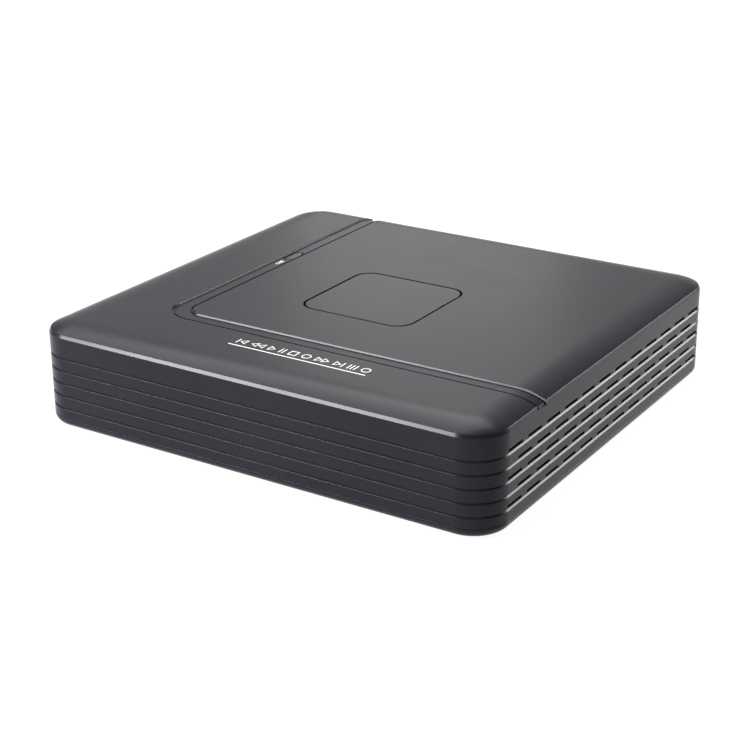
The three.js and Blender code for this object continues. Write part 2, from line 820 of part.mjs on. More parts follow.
// A lead with a plug at the drive and one at the board's header.
function driveLead({ route, radius, drivePlug, boardPlug }) {
  const curve = new THREE.CatmullRomCurve3(route.map((point) => new THREE.Vector3(...point)));
  const section = new THREE.Shape();
  section.absarc(0, 0, radius, 0, 2 * Math.PI);
  const options = { steps: 18, curveSegments: 4, bevelEnabled: false, extrudePath: curve };
  const lead = solidOf(new THREE.ExtrudeGeometry(section, options));
  return join(lead, box(...drivePlug), box(...boardPlug));
}

// ---- Assembly ----------------------------------------------------------------------------------

const recorder = new THREE.Group();
const layout = new THREE.Group(); // origin in the middle of the case's underside
layout.position.set(0, -jackReach / 2, footHeight);
recorder.add(layout);

function add(name, solid, look, group = layout) {
  const mesh = new THREE.Mesh(geometryOf(solid), look);
  mesh.name = name;
  group.add(mesh);
}

add("top_cover", topCover(), casePlastic);
add("badge_plate", badgePlate(), badgePlastic);
add("light_pipe", lightPipe(), smokedPlastic);
add("base_tray", baseTray(), casePlastic);
add("rear_panel", rearPanel(), coatedSteel);
corners.forEach(([sx, sy], i) => {
  add(`foot_${i + 1}`, foot(sx * footX, sy * footY), footRubber);
  add(`case_screw_${i + 1}`, screwFromBelow(sx * bossX, sy * bossY, caseScrewTop), plainSteel);
});

add("main_board", mainBoard(), greenBoard);
boardScrews.forEach(([x, y], i) => add(`board_screw_${i + 1}`, boardScrew(x, y), plainSteel));
for (const [name, place] of Object.entries(chips)) add(name, chip(...place), chipResin);
add("heat_sink", heatSink(), blackAluminium);
add("coin_cell_holder", coinCellHolder(), blackPlastic);
add("coin_cell", coinCell(), plainSteel);
add("buzzer", buzzer(), blackPlastic);
capacitorY.forEach((y, i) => add(`capacitor_${i + 1}`, capacitor(y), capacitorSleeve));
add("power_inductor", chip(inductor.x, inductor.y, inductor.size, inductor.size, inductor.height), copper);
add("indicator_led", indicatorLed(), ledResin);
add("drive_data_header", header(dataHeader), blackPlastic);
add("drive_power_header", header(powerHeader), blackPlastic);

videoJackX.forEach((x, i) => add(`video_jack_${i + 1}`, videoJack(x), nickel));
add("audio_jacks", audioJacks(), nickel);
add("usb_sockets", usbSockets(), nickel);
add("network_socket", networkSocket(), nickel);
add("digital_video_socket", digitalVideoSocket(), nickel);
add("screen_socket", screenSocket(), nickel);
add("hex_post_left", hexPost(hexPostX[0]), nickel);
add("hex_post_right", hexPost(hexPostX[1]), nickel);
add("power_socket", powerSocket(), blackPlastic);

const armPivot = new THREE.Group();
armPivot.position.set(pivotX, pivotY, 0);
armPivot.rotation.z = THREE.MathUtils.degToRad(armParked);
layout.add(armPivot);
add("drive_base", driveBase(), castAluminium);
add("drive_lid", driveLid(), plainSteel);
add("drive_platters", drivePlatters(), platterCoating);
add("drive_head_arm", driveHeadArm(), castAluminium, armPivot);
add("drive_magnet", driveMagnet(), nickel, armPivot);
add("drive_controller_board", driveControllerBoard(), greenBoard);
add("drive_connector", driveConnector(), blackPlastic);
driveHoles.forEach(([x, y], i) =>
  add(`drive_screw_${i + 1}`, screwFromBelow(x, y, driveScrewTop), plainSteel),
);
add("drive_data_lead", driveLead(dataLead), blueCable);
add("drive_power_lead", driveLead(powerLead), blackPlastic);

export default recorder;
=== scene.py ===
"""The looks of a four-channel video recorder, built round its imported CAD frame."""

import math
import random

import bmesh
import bpy
from mathutils import Matrix, Vector

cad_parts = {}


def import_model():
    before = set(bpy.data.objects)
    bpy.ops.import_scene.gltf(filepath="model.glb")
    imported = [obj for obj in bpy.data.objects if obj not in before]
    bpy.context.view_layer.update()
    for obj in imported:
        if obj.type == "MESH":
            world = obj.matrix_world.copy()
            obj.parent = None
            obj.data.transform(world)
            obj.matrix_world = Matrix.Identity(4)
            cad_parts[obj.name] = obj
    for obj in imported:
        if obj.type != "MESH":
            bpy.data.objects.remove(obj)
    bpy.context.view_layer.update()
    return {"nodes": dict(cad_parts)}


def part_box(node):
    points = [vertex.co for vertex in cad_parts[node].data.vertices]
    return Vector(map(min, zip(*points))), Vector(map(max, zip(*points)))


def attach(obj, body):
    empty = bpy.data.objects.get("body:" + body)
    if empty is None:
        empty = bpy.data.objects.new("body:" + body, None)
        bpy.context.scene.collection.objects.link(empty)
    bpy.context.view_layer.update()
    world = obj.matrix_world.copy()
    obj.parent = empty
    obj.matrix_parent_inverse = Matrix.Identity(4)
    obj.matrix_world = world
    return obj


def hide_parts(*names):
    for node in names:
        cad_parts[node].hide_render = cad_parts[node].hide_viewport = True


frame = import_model()

# ---- Frame -------------------------------------------------------------------------------------
# Pieces are modelled in millimetres from the middle of the case's underside, +Y to the rear.

MM = 0.001
tray_low, tray_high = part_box("base_tray")
tray_middle = (tray_low + tray_high) / 2
CASE = Matrix.Translation((tray_middle.x, tray_middle.y, tray_low.z)) @ Matrix.Scale(MM, 4)


def span(node):
    """A CAD node's lowest and highest corners, in case millimetres."""
    low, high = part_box(node)
    return CASE.inverted() @ low, CASE.inverted() @ high


def middle(node):
    low, high = span(node)
    return (low + high) / 2


def places(stem):
    """Where the four CAD nodes named with a stem and a number stand, in plan."""
    return [tuple(middle(f"{stem}_{i}")[:2]) for i in range(1, 5)]


GAP = 0.3  # air between two pieces that touch
cover_low, cover_high = span("top_cover")
panel_low, panel_high = span("rear_panel")
board_low, board_high = span("main_board")
WIDTH = cover_high.x - cover_low.x
DEPTH = cover_high.y - cover_low.y
CROWN_TOP = cover_high.z
SEAT = board_high.z + GAP  # underside of what stands on the board

# ---- Meshes ------------------------------------------------------------------------------------

AXES = {
    "X": Matrix.Rotation(math.radians(90), 4, "Y"),
    "Y": Matrix.Rotation(math.radians(-90), 4, "X"),
    "Z": Matrix.Identity(4),
}


def box_into(bm, x, y, z):
    """A box between two values on each axis."""
    centre = [(a + b) / 2 for a, b in (x, y, z)]
    size = [b - a for a, b in (x, y, z)]
    matrix = Matrix.Translation(centre) @ Matrix.Diagonal((*size, 1))
    return bmesh.ops.create_cube(bm, size=1, matrix=matrix)["verts"]


def boxes(*spans):
    """A mesh of boxes that don't meet, each given as its spans on X, Y and Z."""
    bm = bmesh.new()
    for x, y, z in spans:
        box_into(bm, x, y, z)
    return bm


def node_box(node):
    low, high = span(node)
    return boxes(((low.x, high.x), (low.y, high.y), (low.z, high.z)))


def rods(spots, radius, low, high, axis="Z", segments=48, tip=None):
    """A mesh of round rods between two values along an axis. A tip is the radius at the far end."""
    bm = bmesh.new()
    along = "XYZ".index(axis)
    for spot in spots:
        centre = list(spot)
        centre.insert(along, (low + high) / 2)
        bmesh.ops.create_cone(
            bm,
            cap_ends=True,
            segments=segments,
            radius1=radius,
            radius2=radius if tip is None else tip,
            depth=high - low,
            matrix=Matrix.Translation(centre) @ AXES[axis],
        )
    return bm


def lathe(profile, place=(0, 0, 0), axis="Z", segments=48):
    """A turned mesh. Each profile point is (radius, place along the axis)."""
    bm = bmesh.new()
    points = [bm.verts.new((radius, 0, up)) for radius, up in profile]
    lines = [bm.edges.new(pair) for pair in zip(points, points[1:])]
    bmesh.ops.spin(
        bm,
        geom=points + lines,
        cent=(0, 0, 0),
        axis=(0, 0, 1),
        angle=math.tau,
        steps=segments,
        use_merge=True,
    )
    bmesh.ops.remove_doubles(bm, verts=bm.verts, dist=1e-4)
    bmesh.ops.recalc_face_normals(bm, faces=bm.faces)
    bm.transform(Matrix.Translation(place) @ AXES[axis])
    return bm


def rounded(outline, steps=3):
    """An outline of (across, up) points, where a third number turns that corner into an arc."""
    done = [Vector(outline[0][:2])]
    for before, here, after in zip(outline, outline[1:], outline[2:]):
        corner = Vector(here[:2])
        if len(here) < 3:
            done.append(corner)
            continue
        back = (Vector(before[:2]) - corner).normalized()
        ahead = (Vector(after[:2]) - corner).normalized()
        half = back.angle(ahead) / 2
        centre = corner + (back + ahead).normalized() * here[2] / math.sin(half)
        start = corner + back * here[2] / math.tan(half) - centre
        end = corner + ahead * here[2] / math.tan(half) - centre
        for step in range(steps + 1):
            turned = start.lerp(end, step / steps).normalized()
            done.append(centre + turned * here[2])
    done.append(Vector(outline[-1][:2]))
    return [tuple(point) for point in done]


def plan(width, depth, radius, x=0.0, y=0.0, segments=12):
    """A flat face with rounded corners, facing up."""
    bm = bmesh.new()
    bmesh.ops.create_grid(bm, x_segments=1, y_segments=1, size=0.5)
    bmesh.ops.scale(bm, vec=(width, depth, 1), verts=bm.verts)
    bmesh.ops.bevel(
        bm,
        geom=bm.verts[:],
        offset=radius,
        offset_type="OFFSET",
        segments=segments,
        profile=0.5,
        affect="VERTICES",
        material=-1,
    )
    bmesh.ops.translate(bm, vec=(x, y, 0), verts=bm.verts)
    return bm


def stack(bm, levels):
    """Raises a flat face into a solid whose wall passes each (inset, height) in turn."""
    face = bm.faces[:][0]
    inset, height = levels[0]
    if inset:
        bmesh.ops.inset_region(
            bm, faces=[face], thickness=inset, use_even_offset=True, use_boundary=True
        )
        bmesh.ops.delete(bm, geom=[f for f in bm.faces if f is not face], context="FACES")
        face = bm.faces[:][0]
    bmesh.ops.translate(bm, vec=(0, 0, height), verts=bm.verts)
    for next_inset, next_height in levels[1:]:
        bmesh.ops.inset_region(
            bm,
            faces=[face],
            thickness=next_inset - inset,
            depth=next_height - height,
            use_even_offset=True,
            use_boundary=True,
        )
        inset, height = next_inset, next_height
    bmesh.ops.contextual_create(bm, geom=[e for e in bm.edges if e.is_boundary])
    return bm


def scratch(bm):
    """A passing object that holds a mesh while another is cut by it."""
    mesh = bpy.data.meshes.new("scratch")
    bm.to_mesh(mesh)
    bm.free()
    holder = bpy.data.objects.new("scratch", mesh)
    bpy.context.scene.collection.objects.link(holder)
    return holder


def combine(operation, bm, *tools):
    """The mesh after an exact boolean with each tool in turn. The meshes given are used up."""
    body = scratch(bm)
    holders = [scratch(tool) for tool in tools]
    for holder in holders:
        modifier = body.modifiers.new("combine", "BOOLEAN")
        modifier.operation = operation
        modifier.solver = "EXACT"
        modifier.object = holder
    bpy.context.view_layer.update()
    result = bmesh.new()
    result.from_object(body, bpy.context.evaluated_depsgraph_get())
    for holder in [body, *holders]:
        mesh = holder.data
        bpy.data.objects.remove(holder)
        bpy.data.meshes.remove(mesh)
    bmesh.ops.remove_doubles(result, verts=result.verts, dist=1e-4)
    return result


def cut(bm, *tools):
    return combine("DIFFERENCE", bm, *tools)


def join(bm, *tools):
    return combine("UNION", bm, *tools)


def loose_copy(node):
    """A CAD node's shape with its flat faces made whole, in case millimetres."""
    bm = bmesh.new()
    bm.from_mesh(frame["nodes"][node].data)
    bm.transform(CASE.inverted())
    bmesh.ops.remove_doubles(bm, verts=bm.verts, dist=0.01)
    bmesh.ops.dissolve_limit(
        bm, angle_limit=math.radians(1), verts=bm.verts[:], edges=bm.edges[:]
    )
    return bm


def eased(bm, width, segments=2, over=50):
    """Bevels every edge that turns by more than an angle in degrees."""
    sharp = [e for e in bm.edges if e.is_manifold and e.calc_face_angle(0) > math.radians(over)]
    bmesh.ops.bevel(
        bm,
        geom=sharp,
        offset=width,
        offset_type="OFFSET",
        segments=segments,
        profile=0.5,
        affect="EDGES",
        clamp_overlap=True,
        material=-1,
    )
    return bm


def piece(name, bm, body, look, stands_for=(), edge=0.0, sharp=35):
    """Finishes a mesh as a piece of the object. An edge is the width of its bevelled edges."""
    bm.transform(CASE)
    mesh = bpy.data.meshes.new(name)
    bm.to_mesh(mesh)
    bm.free()
    mesh.materials.append(look)
    mesh.shade_smooth()
    mesh.set_sharp_from_angle(angle=math.radians(sharp))
    made = bpy.data.objects.new(name, mesh)
    bpy.context.scene.collection.objects.link(made)
    if edge:
        bevel = made.modifiers.new("edges", "BEVEL")
        bevel.width = edge * MM
        bevel.segments = 2
        bevel.limit_method = "ANGLE"
        bevel.angle_limit = math.radians(60)
    made.modifiers.new("flat faces", "WEIGHTED_NORMAL").keep_sharp = True
    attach(made, body)
    if stands_for:
        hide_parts(*stands_for)
    return made


# ---- Materials ---------------------------------------------------------------------------------


def srgb(code):
    """A hex colour as linear red, green and blue, with alpha."""
    shares = [int(code[i : i + 2], 16) / 255 for i in (0, 2, 4)]
    linear = [s / 12.92 if s <= 0.04045 else ((s + 0.055) / 1.055) ** 2.4 for s in shares]
    return (*linear, 1)


def add(tree, kind, settings=None, **inputs):
    """A node with its settings, each input given a value or a link. _6 is the input at index 6."""
    made = tree.nodes.new("ShaderNode" + kind)
    for key, value in (settings or {}).items():
        setattr(made, key, value)
    for key, value in inputs.items():
        socket = made.inputs[int(key[1:]) if key[0] == "_" else key.replace("_", " ")]
        if isinstance(value, bpy.types.NodeSocket):
            tree.links.new(value, socket)
        else:
            socket.default_value = value
    return made


def empty_material(name):
    material = bpy.data.materials.new(name)
    material.use_nodes = True
    material.node_tree.nodes.clear()
    return material, material.node_tree


def grained(name, dark, light, gloss, grain, relief, drift=30.0, stretch=(1, 1, 1), **shader):
    """A material whose colour and gloss wander over a drift, on a grain with some relief, in mm."""
    material, tree = empty_material(name)
    place = add(tree, "TexCoord").outputs["Object"]
    along = add(tree, "Mapping", Vector=place, Scale=stretch).outputs["Vector"]
    wander = add(tree, "TexNoise", Vector=place, Scale=1 / (drift * MM), Detail=4.0)
    fine = add(tree, "TexNoise", Vector=along, Scale=1 / (grain * MM), Detail=2.0)
    both = add(tree, "Math", {"operation": "MULTIPLY_ADD"}, _0=fine.outputs["Fac"], _1=0.4)
    tree.links.new(wander.outputs["Fac"], both.inputs[2])
    share = add(tree, "MapRange", Value=both.outputs[0], From_Min=0.45, From_Max=0.95).outputs[0]
    colour = add(tree, "Mix", {"data_type": "RGBA"}, _0=share, _6=srgb(dark), _7=srgb(light))
    rough = add(tree, "MapRange", Value=share, To_Min=gloss[0], To_Max=gloss[1])
    bump = add(tree, "Bump", Height=fine.outputs["Fac"], Strength=1.0, Distance=relief * MM)
    surface = add(
        tree,
        "BsdfPrincipled",
        Base_Color=colour.outputs[2],
        Roughness=rough.outputs[0],
        Normal=bump.outputs[0],
        **shader,
    )
    add(tree, "OutputMaterial", Surface=surface.outputs[0])
    return material


def satin_abs():
    """Moulded black ABS off a lightly spark-eroded tool: satin, with a soft grain.
    The real grain is about 0.1 mm; it is drawn at 0.5 mm so that it just shows. Its IOR is under
    the usual 1.54, matched to how little the case mirrors."""
    return grained("satin_abs", "121219", "16161e", (0.24, 0.29), 0.5, 0.0012, IOR=1.26)


def badge_abs():
    """The badge's ABS comes off a smoother tool than the cover's, so it is slightly glossier."""
    return grained("badge_abs", "131318", "17171c", (0.23, 0.27), 0.4, 0.0006, IOR=1.26)


def smoked_polycarbonate():
    """Injection-moulded smoked polycarbonate: deep, nearly black, and clear-glossy on top."""
    return grained(
        "smoked_polycarbonate", "0c0c0e", "131317", (0.16, 0.2), 2, 0.0005, IOR=1.33
    )


def foot_rubber():
    """Die-cut rubber: matt, dusty grey-black, with a pebbled surface."""
    return grained("foot_rubber", "141414", "232322", (0.8, 0.92), 0.35, 0.01, IOR=1.52)


def powder_coat():
    """Black powder coat on steel: fine orange peel about 0.8 mm across, half matt."""
    return grained("powder_coat", "141517", "1d1e20", (0.42, 0.55), 0.8, 0.01, IOR=1.5)


def zinc_plate():
    """Zinc-plated steel: mid grey, faintly blue and cloudy from its passivation."""
    return grained("zinc_plate", "83878c", "a9acaf", (0.28, 0.44), 0.6, 0.002, drift=4, Metallic=1.0)


def nickel_plate():
    """Nickel over turned brass: warm and bright, with a fine even grain."""
    return grained("nickel_plate", "b5b1a6", "d3cfc5", (0.14, 0.26), 0.4, 0.001, drift=6, Metallic=1.0)


def tin_plate():
    """Tin-plated stamped steel: whiter and duller than nickel, streaked by the rolling."""
    return grained(
        "tin_plate", "a4a6a8", "c9cbcc", (0.28, 0.42), 0.5, 0.0015, drift=8,
        stretch=(0.2, 1, 1), Metallic=1.0,
    )


def gold_flash():
    """A flash of gold on contact springs."""
    return grained("gold_flash", "c9963a", "e2b45a", (0.18, 0.28), 0.5, 0.0005, drift=3, Metallic=1.0)


def brushed_steel():
    """Cold-rolled stainless sheet: brushed along the drive, so its grain is 40 times as long."""
    return grained(
        "brushed_steel", "64676a", "84878a", (0.3, 0.46), 0.4, 0.003, drift=24,
        stretch=(0.025, 1, 1), Metallic=1.0,
    )


def cast_aluminium():
    """Die-cast aluminium: grey, sandy to the touch, with flow marks a centimetre or two long."""
    return grained("cast_aluminium", "5b5d60", "6f7174", (0.46, 0.6), 0.7, 0.012, drift=14, Metallic=0.9)


def black_anodised():
    """Black-anodised extruded aluminium: dark, faintly metallic, drawn along the fins."""
    return grained(
        "black_anodised", "15161a", "232429", (0.34, 0.48), 0.5, 0.003, drift=10,
        stretch=(1, 0.04, 1), Metallic=0.6,
    )


def disc_coating():
    """Sputtered magnetic disc: a near-perfect mirror with a slight cool tint."""
    return grained("disc_coating", "b3b5b8", "bcbdbf", (0.03, 0.05), 5, 0.0001, Metallic=1.0)


def solder_mask():
    """Green solder mask over copper: glossy lacquer, clouded over about a centimetre."""
    return grained("solder_mask", "0c3f22", "125530", (0.22, 0.34), 1.2, 0.002, drift=9, IOR=1.5)


def mask_over_copper():
    """The mask where a track runs below it reads lighter."""
    return grained("mask_over_copper", "1a6b38", "237b43", (0.2, 0.3), 1, 0.001, drift=9, IOR=1.5)


def chip_resin():
    """Transfer-moulded epoxy: charcoal, matt, with a fine pitted skin."""
    return grained("chip_resin", "17181a", "222326", (0.55, 0.7), 0.3, 0.004, drift=6, IOR=1.55)


def black_nylon():
    """Glass-filled black nylon for headers and sockets: half matt, slightly flecked."""
    return grained("black_nylon", "111113", "1c1c1f", (0.42, 0.56), 0.5, 0.004, drift=8, IOR=1.53)


def ivory_nylon():
    """Natural nylon insulators: ivory, waxy and softly lit from within."""
    return grained(
        "ivory_nylon", "d8d2c0", "e6e1d2", (0.38, 0.48), 0.6, 0.002, drift=8,
        IOR=1.53, Subsurface_Weight=0.1, Subsurface_Scale=0.001,
    )


def coloured_nylon(name, dark, light):
    """Pigmented nylon, glossier than the natural kind."""
    return grained(name, dark, light, (0.32, 0.42), 0.6, 0.002, drift=8, IOR=1.53)


def lead_vinyl(name, dark, light):
    """Extruded PVC insulation: even colour, soft sheen, faintly grained."""
    return grained(name, dark, light, (0.36, 0.46), 0.8, 0.004, drift=12, IOR=1.52)


def capacitor_sleeve():
    """Shrunk PET sleeve: blue-black and glossy over its can."""
    return grained("capacitor_sleeve", "141722", "1f2434", (0.2, 0.32), 1, 0.003, drift=5, IOR=1.57)


def ferrite():
    """Pressed ferrite: dark grey, gritty and dull."""
    return grained("ferrite", "2a2a2b", "3a3a3a", (0.68, 0.82), 0.4, 0.012, drift=4, IOR=1.9)


def led_resin():
    """Diffused green epoxy of an unlit indicator."""
    return grained(
        "led_resin", "4fa85c", "76c983", (0.14, 0.22), 1, 0.001, drift=3,
        IOR=1.52, Transmission_Weight=0.35,
    )


def print_ink(name, dark, light):
    """Pad-printed ink: opaque and dry, a little uneven at the scale of a stroke."""
    return grained(name, dark, light, (0.5, 0.62), 0.25, 0.001, drift=1.5, IOR=1.5)


def label_film():
    """Matt silver polyester label."""
    return grained("label_film", "8d8f91", "9b9c9e", (0.46, 0.56), 0.6, 0.001, drift=20, Metallic=0.2)


# ---- Top cover ---------------------------------------------------------------------------------

CORNER = 14.4  # radius of the case's corners in plan
WALL = 2.2
ROOF = 2.4
BEVEL_FOOT = 37.85
BEVEL_HEAD = 39.2
BEVEL_INSET = 0.66
CROWN_RISE = CROWN_TOP - BEVEL_HEAD
CROWN_RUN = 13.4
CROWN_POWER = 2.5
GROOVES = 5
FIRST_GROOVE = 8.2
GROOVE_PITCH = 5.326
GROOVE_DEPTH = 0.55
GROOVE_SLOPE = 0.55
GROOVE_ROOF = 0.45
SLOT_PITCH = 14.3
SLOT_LENGTH = 10.1
SLOT_HEIGHT = 1.6
SLOT_LIFT = 0.35  # of a slot's sill above its groove's lip
LONG_ROW = 12  # slots in the first, third and fifth rows; the others have one fewer
CHANNEL_LEFT = -67.6
CHANNEL_FRONT = -61.3
CHANNEL_WIDTH = 6.6
CHANNEL_DEPTH = 0.7
CHANNEL_RADIUS = 14
CHANNEL_TUCK = 0.5
CHANNEL_DRAFT = 0.3  # how far a channel wall leans over its height
CHANNEL_RIM = 0.13  # bevel on its upper edges
FRONT_CREASE = (-0.95, -0.25)  # from the channel's outer wall, outwards
LEFT_CREASE = (CHANNEL_WIDTH + 0.25, CHANNEL_WIDTH + 1.05)
CREASE_DEPTH = 0.6
BADGE_GAP = 1.0
BADGE_CORNER = 7
WINDOW_GAP = 0.5
BOSSES = [(-91.2, -85), (91.2, -85), (-91.2, 85), (91.2, 85)]  # the case screws go up into them


def case_plan():
    return plan(WIDTH, DEPTH, CORNER, segments=24)


def crown(inset, drop, stations=16):
    """The crown's section, from the bevel's upper edge inwards, at a drop below the real one."""
    levels = []
    for station in range(stations + 1):
        run = min(CROWN_RUN * (station / stations) ** 1.25, CORNER - 0.1 - inset)
        rise = CROWN_RISE * (1 - (1 - run / CROWN_RUN) ** CROWN_POWER)
        if levels and inset + run <= levels[-1][0]:
            break
        levels.append((inset + run, BEVEL_HEAD + rise - drop))
    return levels


def cover_skin():
    outline = [(0.6, cover_low.z), (0, cover_low.z, 0.15)]
    for groove in range(GROOVES):
        lip = FIRST_GROOVE + groove * GROOVE_PITCH
        outline += [
            (0, lip - GROOVE_SLOPE, 0.2),
            (GROOVE_DEPTH, lip),
            (GROOVE_DEPTH, lip + GROOVE_ROOF),
            (0, lip + GROOVE_ROOF, 0.15),
        ]
    outline += [(0, BEVEL_FOOT, 0.5), (BEVEL_INSET, BEVEL_HEAD, 0.3), *crown(BEVEL_INSET, 0)[2:]]
    return stack(case_plan(), rounded(outline))


def band(outer, inner, depth):
    """An L-shaped band that follows the channel between two offsets from its outer wall, down to
    a depth below the cover's skin. It runs over the right edge and out at the back."""
    reach = WIDTH
    x, y = CHANNEL_LEFT + reach / 2, CHANNEL_FRONT + reach / 2
    high, low = reach - 2 * outer, reach - 2 * inner
    heights = [(0, BEVEL_FOOT), (0, CROWN_TOP + 5)]
    block = stack(plan(high, high, CHANNEL_RADIUS - outer, x, y, 24), heights)
    heights = [(0, BEVEL_FOOT - 1), (0, CROWN_TOP + 6)]
    core = stack(plan(low, low, CHANNEL_RADIUS - inner, x, y, 24), heights)
    beyond = boxes(
        ((CHANNEL_LEFT + CHANNEL_WIDTH + 20, 2 * WIDTH),
         (CHANNEL_FRONT + CHANNEL_WIDTH + 20, 2 * WIDTH),
         (BEVEL_FOOT - 2, CROWN_TOP + 7)),
    )
    low_skin = [(CHANNEL_TUCK, BEVEL_FOOT - 2), (CHANNEL_TUCK, BEVEL_FOOT - depth)]
    low_skin += crown(BEVEL_INSET + CHANNEL_TUCK, depth)
    return cut(block, core, beyond, stack(case_plan(), low_skin))


def creases():
    """Fine grooves along two of the channel's edges: outside its front run, and on the inner side
    of its left run."""
    clear = (-2 * WIDTH, 2 * WIDTH)
    turn_x, turn_y = CHANNEL_LEFT + CHANNEL_RADIUS, CHANNEL_FRONT + CHANNEL_RADIUS
    z = (BEVEL_FOOT - 3, CROWN_TOP + 8)
    front = cut(band(*FRONT_CREASE, CREASE_DEPTH), boxes((clear, (turn_y - 4, 2 * WIDTH), z)))
    left = band(*LEFT_CREASE, CREASE_DEPTH)
    return front, cut(left, boxes(((turn_x - 2, 2 * WIDTH), clear, z)))


def from_channel_wall(x, y):
    """A point's distance outside the channel's outer wall and inside its inner one."""
    turn_x, turn_y = CHANNEL_LEFT + CHANNEL_RADIUS, CHANNEL_FRONT + CHANNEL_RADIUS
    if x < turn_x and y < turn_y:
        reach = math.hypot(x - turn_x, y - turn_y)
    else:
        reach = max(turn_x - x, turn_y - y)
    return reach - CHANNEL_RADIUS, CHANNEL_RADIUS - CHANNEL_WIDTH - reach


def skin_height(x, y):
    """The height of the cover's crown over a point that isn't in one of its corners."""
    inset = min(WIDTH / 2 - abs(x), DEPTH / 2 - abs(y))
    run = min(max(inset - BEVEL_INSET, 0), CROWN_RUN)
    return BEVEL_HEAD + CROWN_RISE * (1 - (1 - run / CROWN_RUN) ** CROWN_POWER)


def ease_channel(bm):
    """Leans the channel's walls so that its floor is narrower than its mouth, as a mould needs, and
    eases their upper edges."""
    turn = Vector((CHANNEL_LEFT + CHANNEL_RADIUS, CHANNEL_FRONT + CHANNEL_RADIUS))
    edge_verts = set()
    for vert in bm.verts:
        if vert.co.z < BEVEL_FOOT - 0.5:
            continue
        place = vert.co.xy
        outer, inner = from_channel_wall(*place)
        if min(abs(outer), abs(inner)) > 0.01:
            continue
        if vert.co.z > skin_height(*place) - 0.05:
            edge_verts.add(vert)
            continue
        away = Vector((min(place.x - turn.x, 0), min(place.y - turn.y, 0))).normalized()
        vert.co.xy -= away * CHANNEL_DRAFT * (1 if abs(outer) < 0.01 else -1)
    bm.normal_update()
    rims = [
        e for e in bm.edges
        if set(e.verts) <= edge_verts and e.is_manifold and e.calc_face_angle(0) > math.radians(40)
    ]
    bmesh.ops.bevel(
        bm,
        geom=rims,
        offset=CHANNEL_RIM,
        offset_type="OFFSET",
        segments=2,
        profile=0.5,
        affect="EDGES",
        clamp_overlap=True,
        material=-1,
    )


def vent_slots():
    slots = []
    for row in range(GROOVES):
        count = LONG_ROW - row % 2
        sill = FIRST_GROOVE + row * GROOVE_PITCH + SLOT_LIFT
        for i in range(count):
            y = (i - (count - 1) / 2) * SLOT_PITCH
            y_span = (y - SLOT_LENGTH / 2, y + SLOT_LENGTH / 2)
            slots.append(((-WIDTH, WIDTH), y_span, (sill, sill + SLOT_HEIGHT)))
    return boxes(*slots)


def badge_plan(margin):
    low, high = span("badge_plate")
    centre = middle("badge_plate")
    size = high.x - low.x + 2 * margin
    return plan(size, size, BADGE_CORNER + margin, centre.x, centre.y, 16)


def window_plan(margin):
    """The window's round-ended outline: its light pipe's flange is 1.5 mm wider all round."""
    low, high = span("light_pipe")
    centre = middle("light_pipe")
    width = high.x - low.x - 3 + 2 * margin
    length = high.y - low.y - 3 + 2 * margin
    return plan(width, length, width / 2 - 0.01, centre.x, centre.y, 16)


def top_cover(look):
    hollow = [(WALL, -1), *crown(WALL, ROOF)]
    rebate = 1.6
    opening = panel_high.x - rebate
    pocket = panel_high.x + GAP
    above = CROWN_TOP + 3
    shell = cut(cover_skin(), stack(case_plan(), hollow), band(0, CHANNEL_WIDTH, CHANNEL_DEPTH))
    ease_channel(shell)
    shell = cut(
        shell,
        *creases(),
        vent_slots(),
        stack(badge_plan(BADGE_GAP), [(0, span("badge_plate")[0].z - GAP), (0, above)]),
        stack(window_plan(WINDOW_GAP), [(0, BEVEL_FOOT - 2), (0, above)]),
        boxes(((-opening, opening), (panel_low.y - WALL, DEPTH), (-1, panel_high.z - rebate))),
        boxes(
            ((-pocket, pocket),
             (panel_low.y - WALL - 0.1, panel_high.y + GAP),
             (-2, panel_high.z + GAP)),
        ),
    )
    shell = join(shell, rods(BOSSES, 3.5, 8, BEVEL_HEAD, segments=32))
    shell = cut(shell, rods(BOSSES, 1.8, 7, 20.3, segments=24))
    return piece("cover_shell", shell, "cover", look, ["top_cover"])


def badge(look):
    low, high = span("badge_plate")
    levels = rounded([(0, low.z), (0, high.z, 0.12), (3, high.z)])
    plate = stack(badge_plan(0), levels)
    return piece("cover_badge", plate, "cover", look, ["badge_plate"])


def indicator_window(look):
    low, high = span("light_pipe")
    flange_top = CROWN_TOP - ROOF - GAP
    lens = stack(window_plan(0), rounded([(0, flange_top - 0.5), (0, high.z, 0.25), (1.4, high.z)]))
    flange = stack(window_plan(1.5), [(0, flange_top - 1.2), (0, flange_top)])
    x, y = middle("light_pipe").xy
    stem = boxes(((x - 1.2, x + 1.2), (y - 2.5, y + 2.5), (low.z, flange_top - 1)))
    pipe = join(lens, flange, eased(stem, 0.3))
    return piece("indicator_window", pipe, "cover", look, ["light_pipe"])


# ---- Tray, feet and screws ---------------------------------------------------------------------

TRAY_EDGE = 3.4  # radius of the tray's lower edge
LIP_INSET = 2.5
LIP_WALL = 1.6
FLOOR = 2
DRIVE_SCREWS = places("drive_screw")
BOARD_SCREWS = places("board_screw")
FEET = places("foot")
FLOOR_VENTS = [-40.7, 45]


def tray_shell():
    tray_rim = cover_low.z - 0.12
    tray_top = span("base_tray")[1].z
    lip_top = 7.2
    outline = []
    for step in range(9):
        angle = math.radians(90 * step / 8)
        outline.append((TRAY_EDGE * (1 - math.sin(angle)), TRAY_EDGE * (1 - math.cos(angle))))
    outline = outline[:-1] + [(0, tray_rim, 0.12), (LIP_INSET, tray_rim), (LIP_INSET, lip_top, 0.3)]
    outline.append((LIP_INSET + 0.8, lip_top))
    inside = LIP_INSET + LIP_WALL
    hollow = stack(case_plan(), rounded([(inside, FLOOR), (inside, tray_top)]))
    return cut(stack(case_plan(), rounded(outline)), hollow)


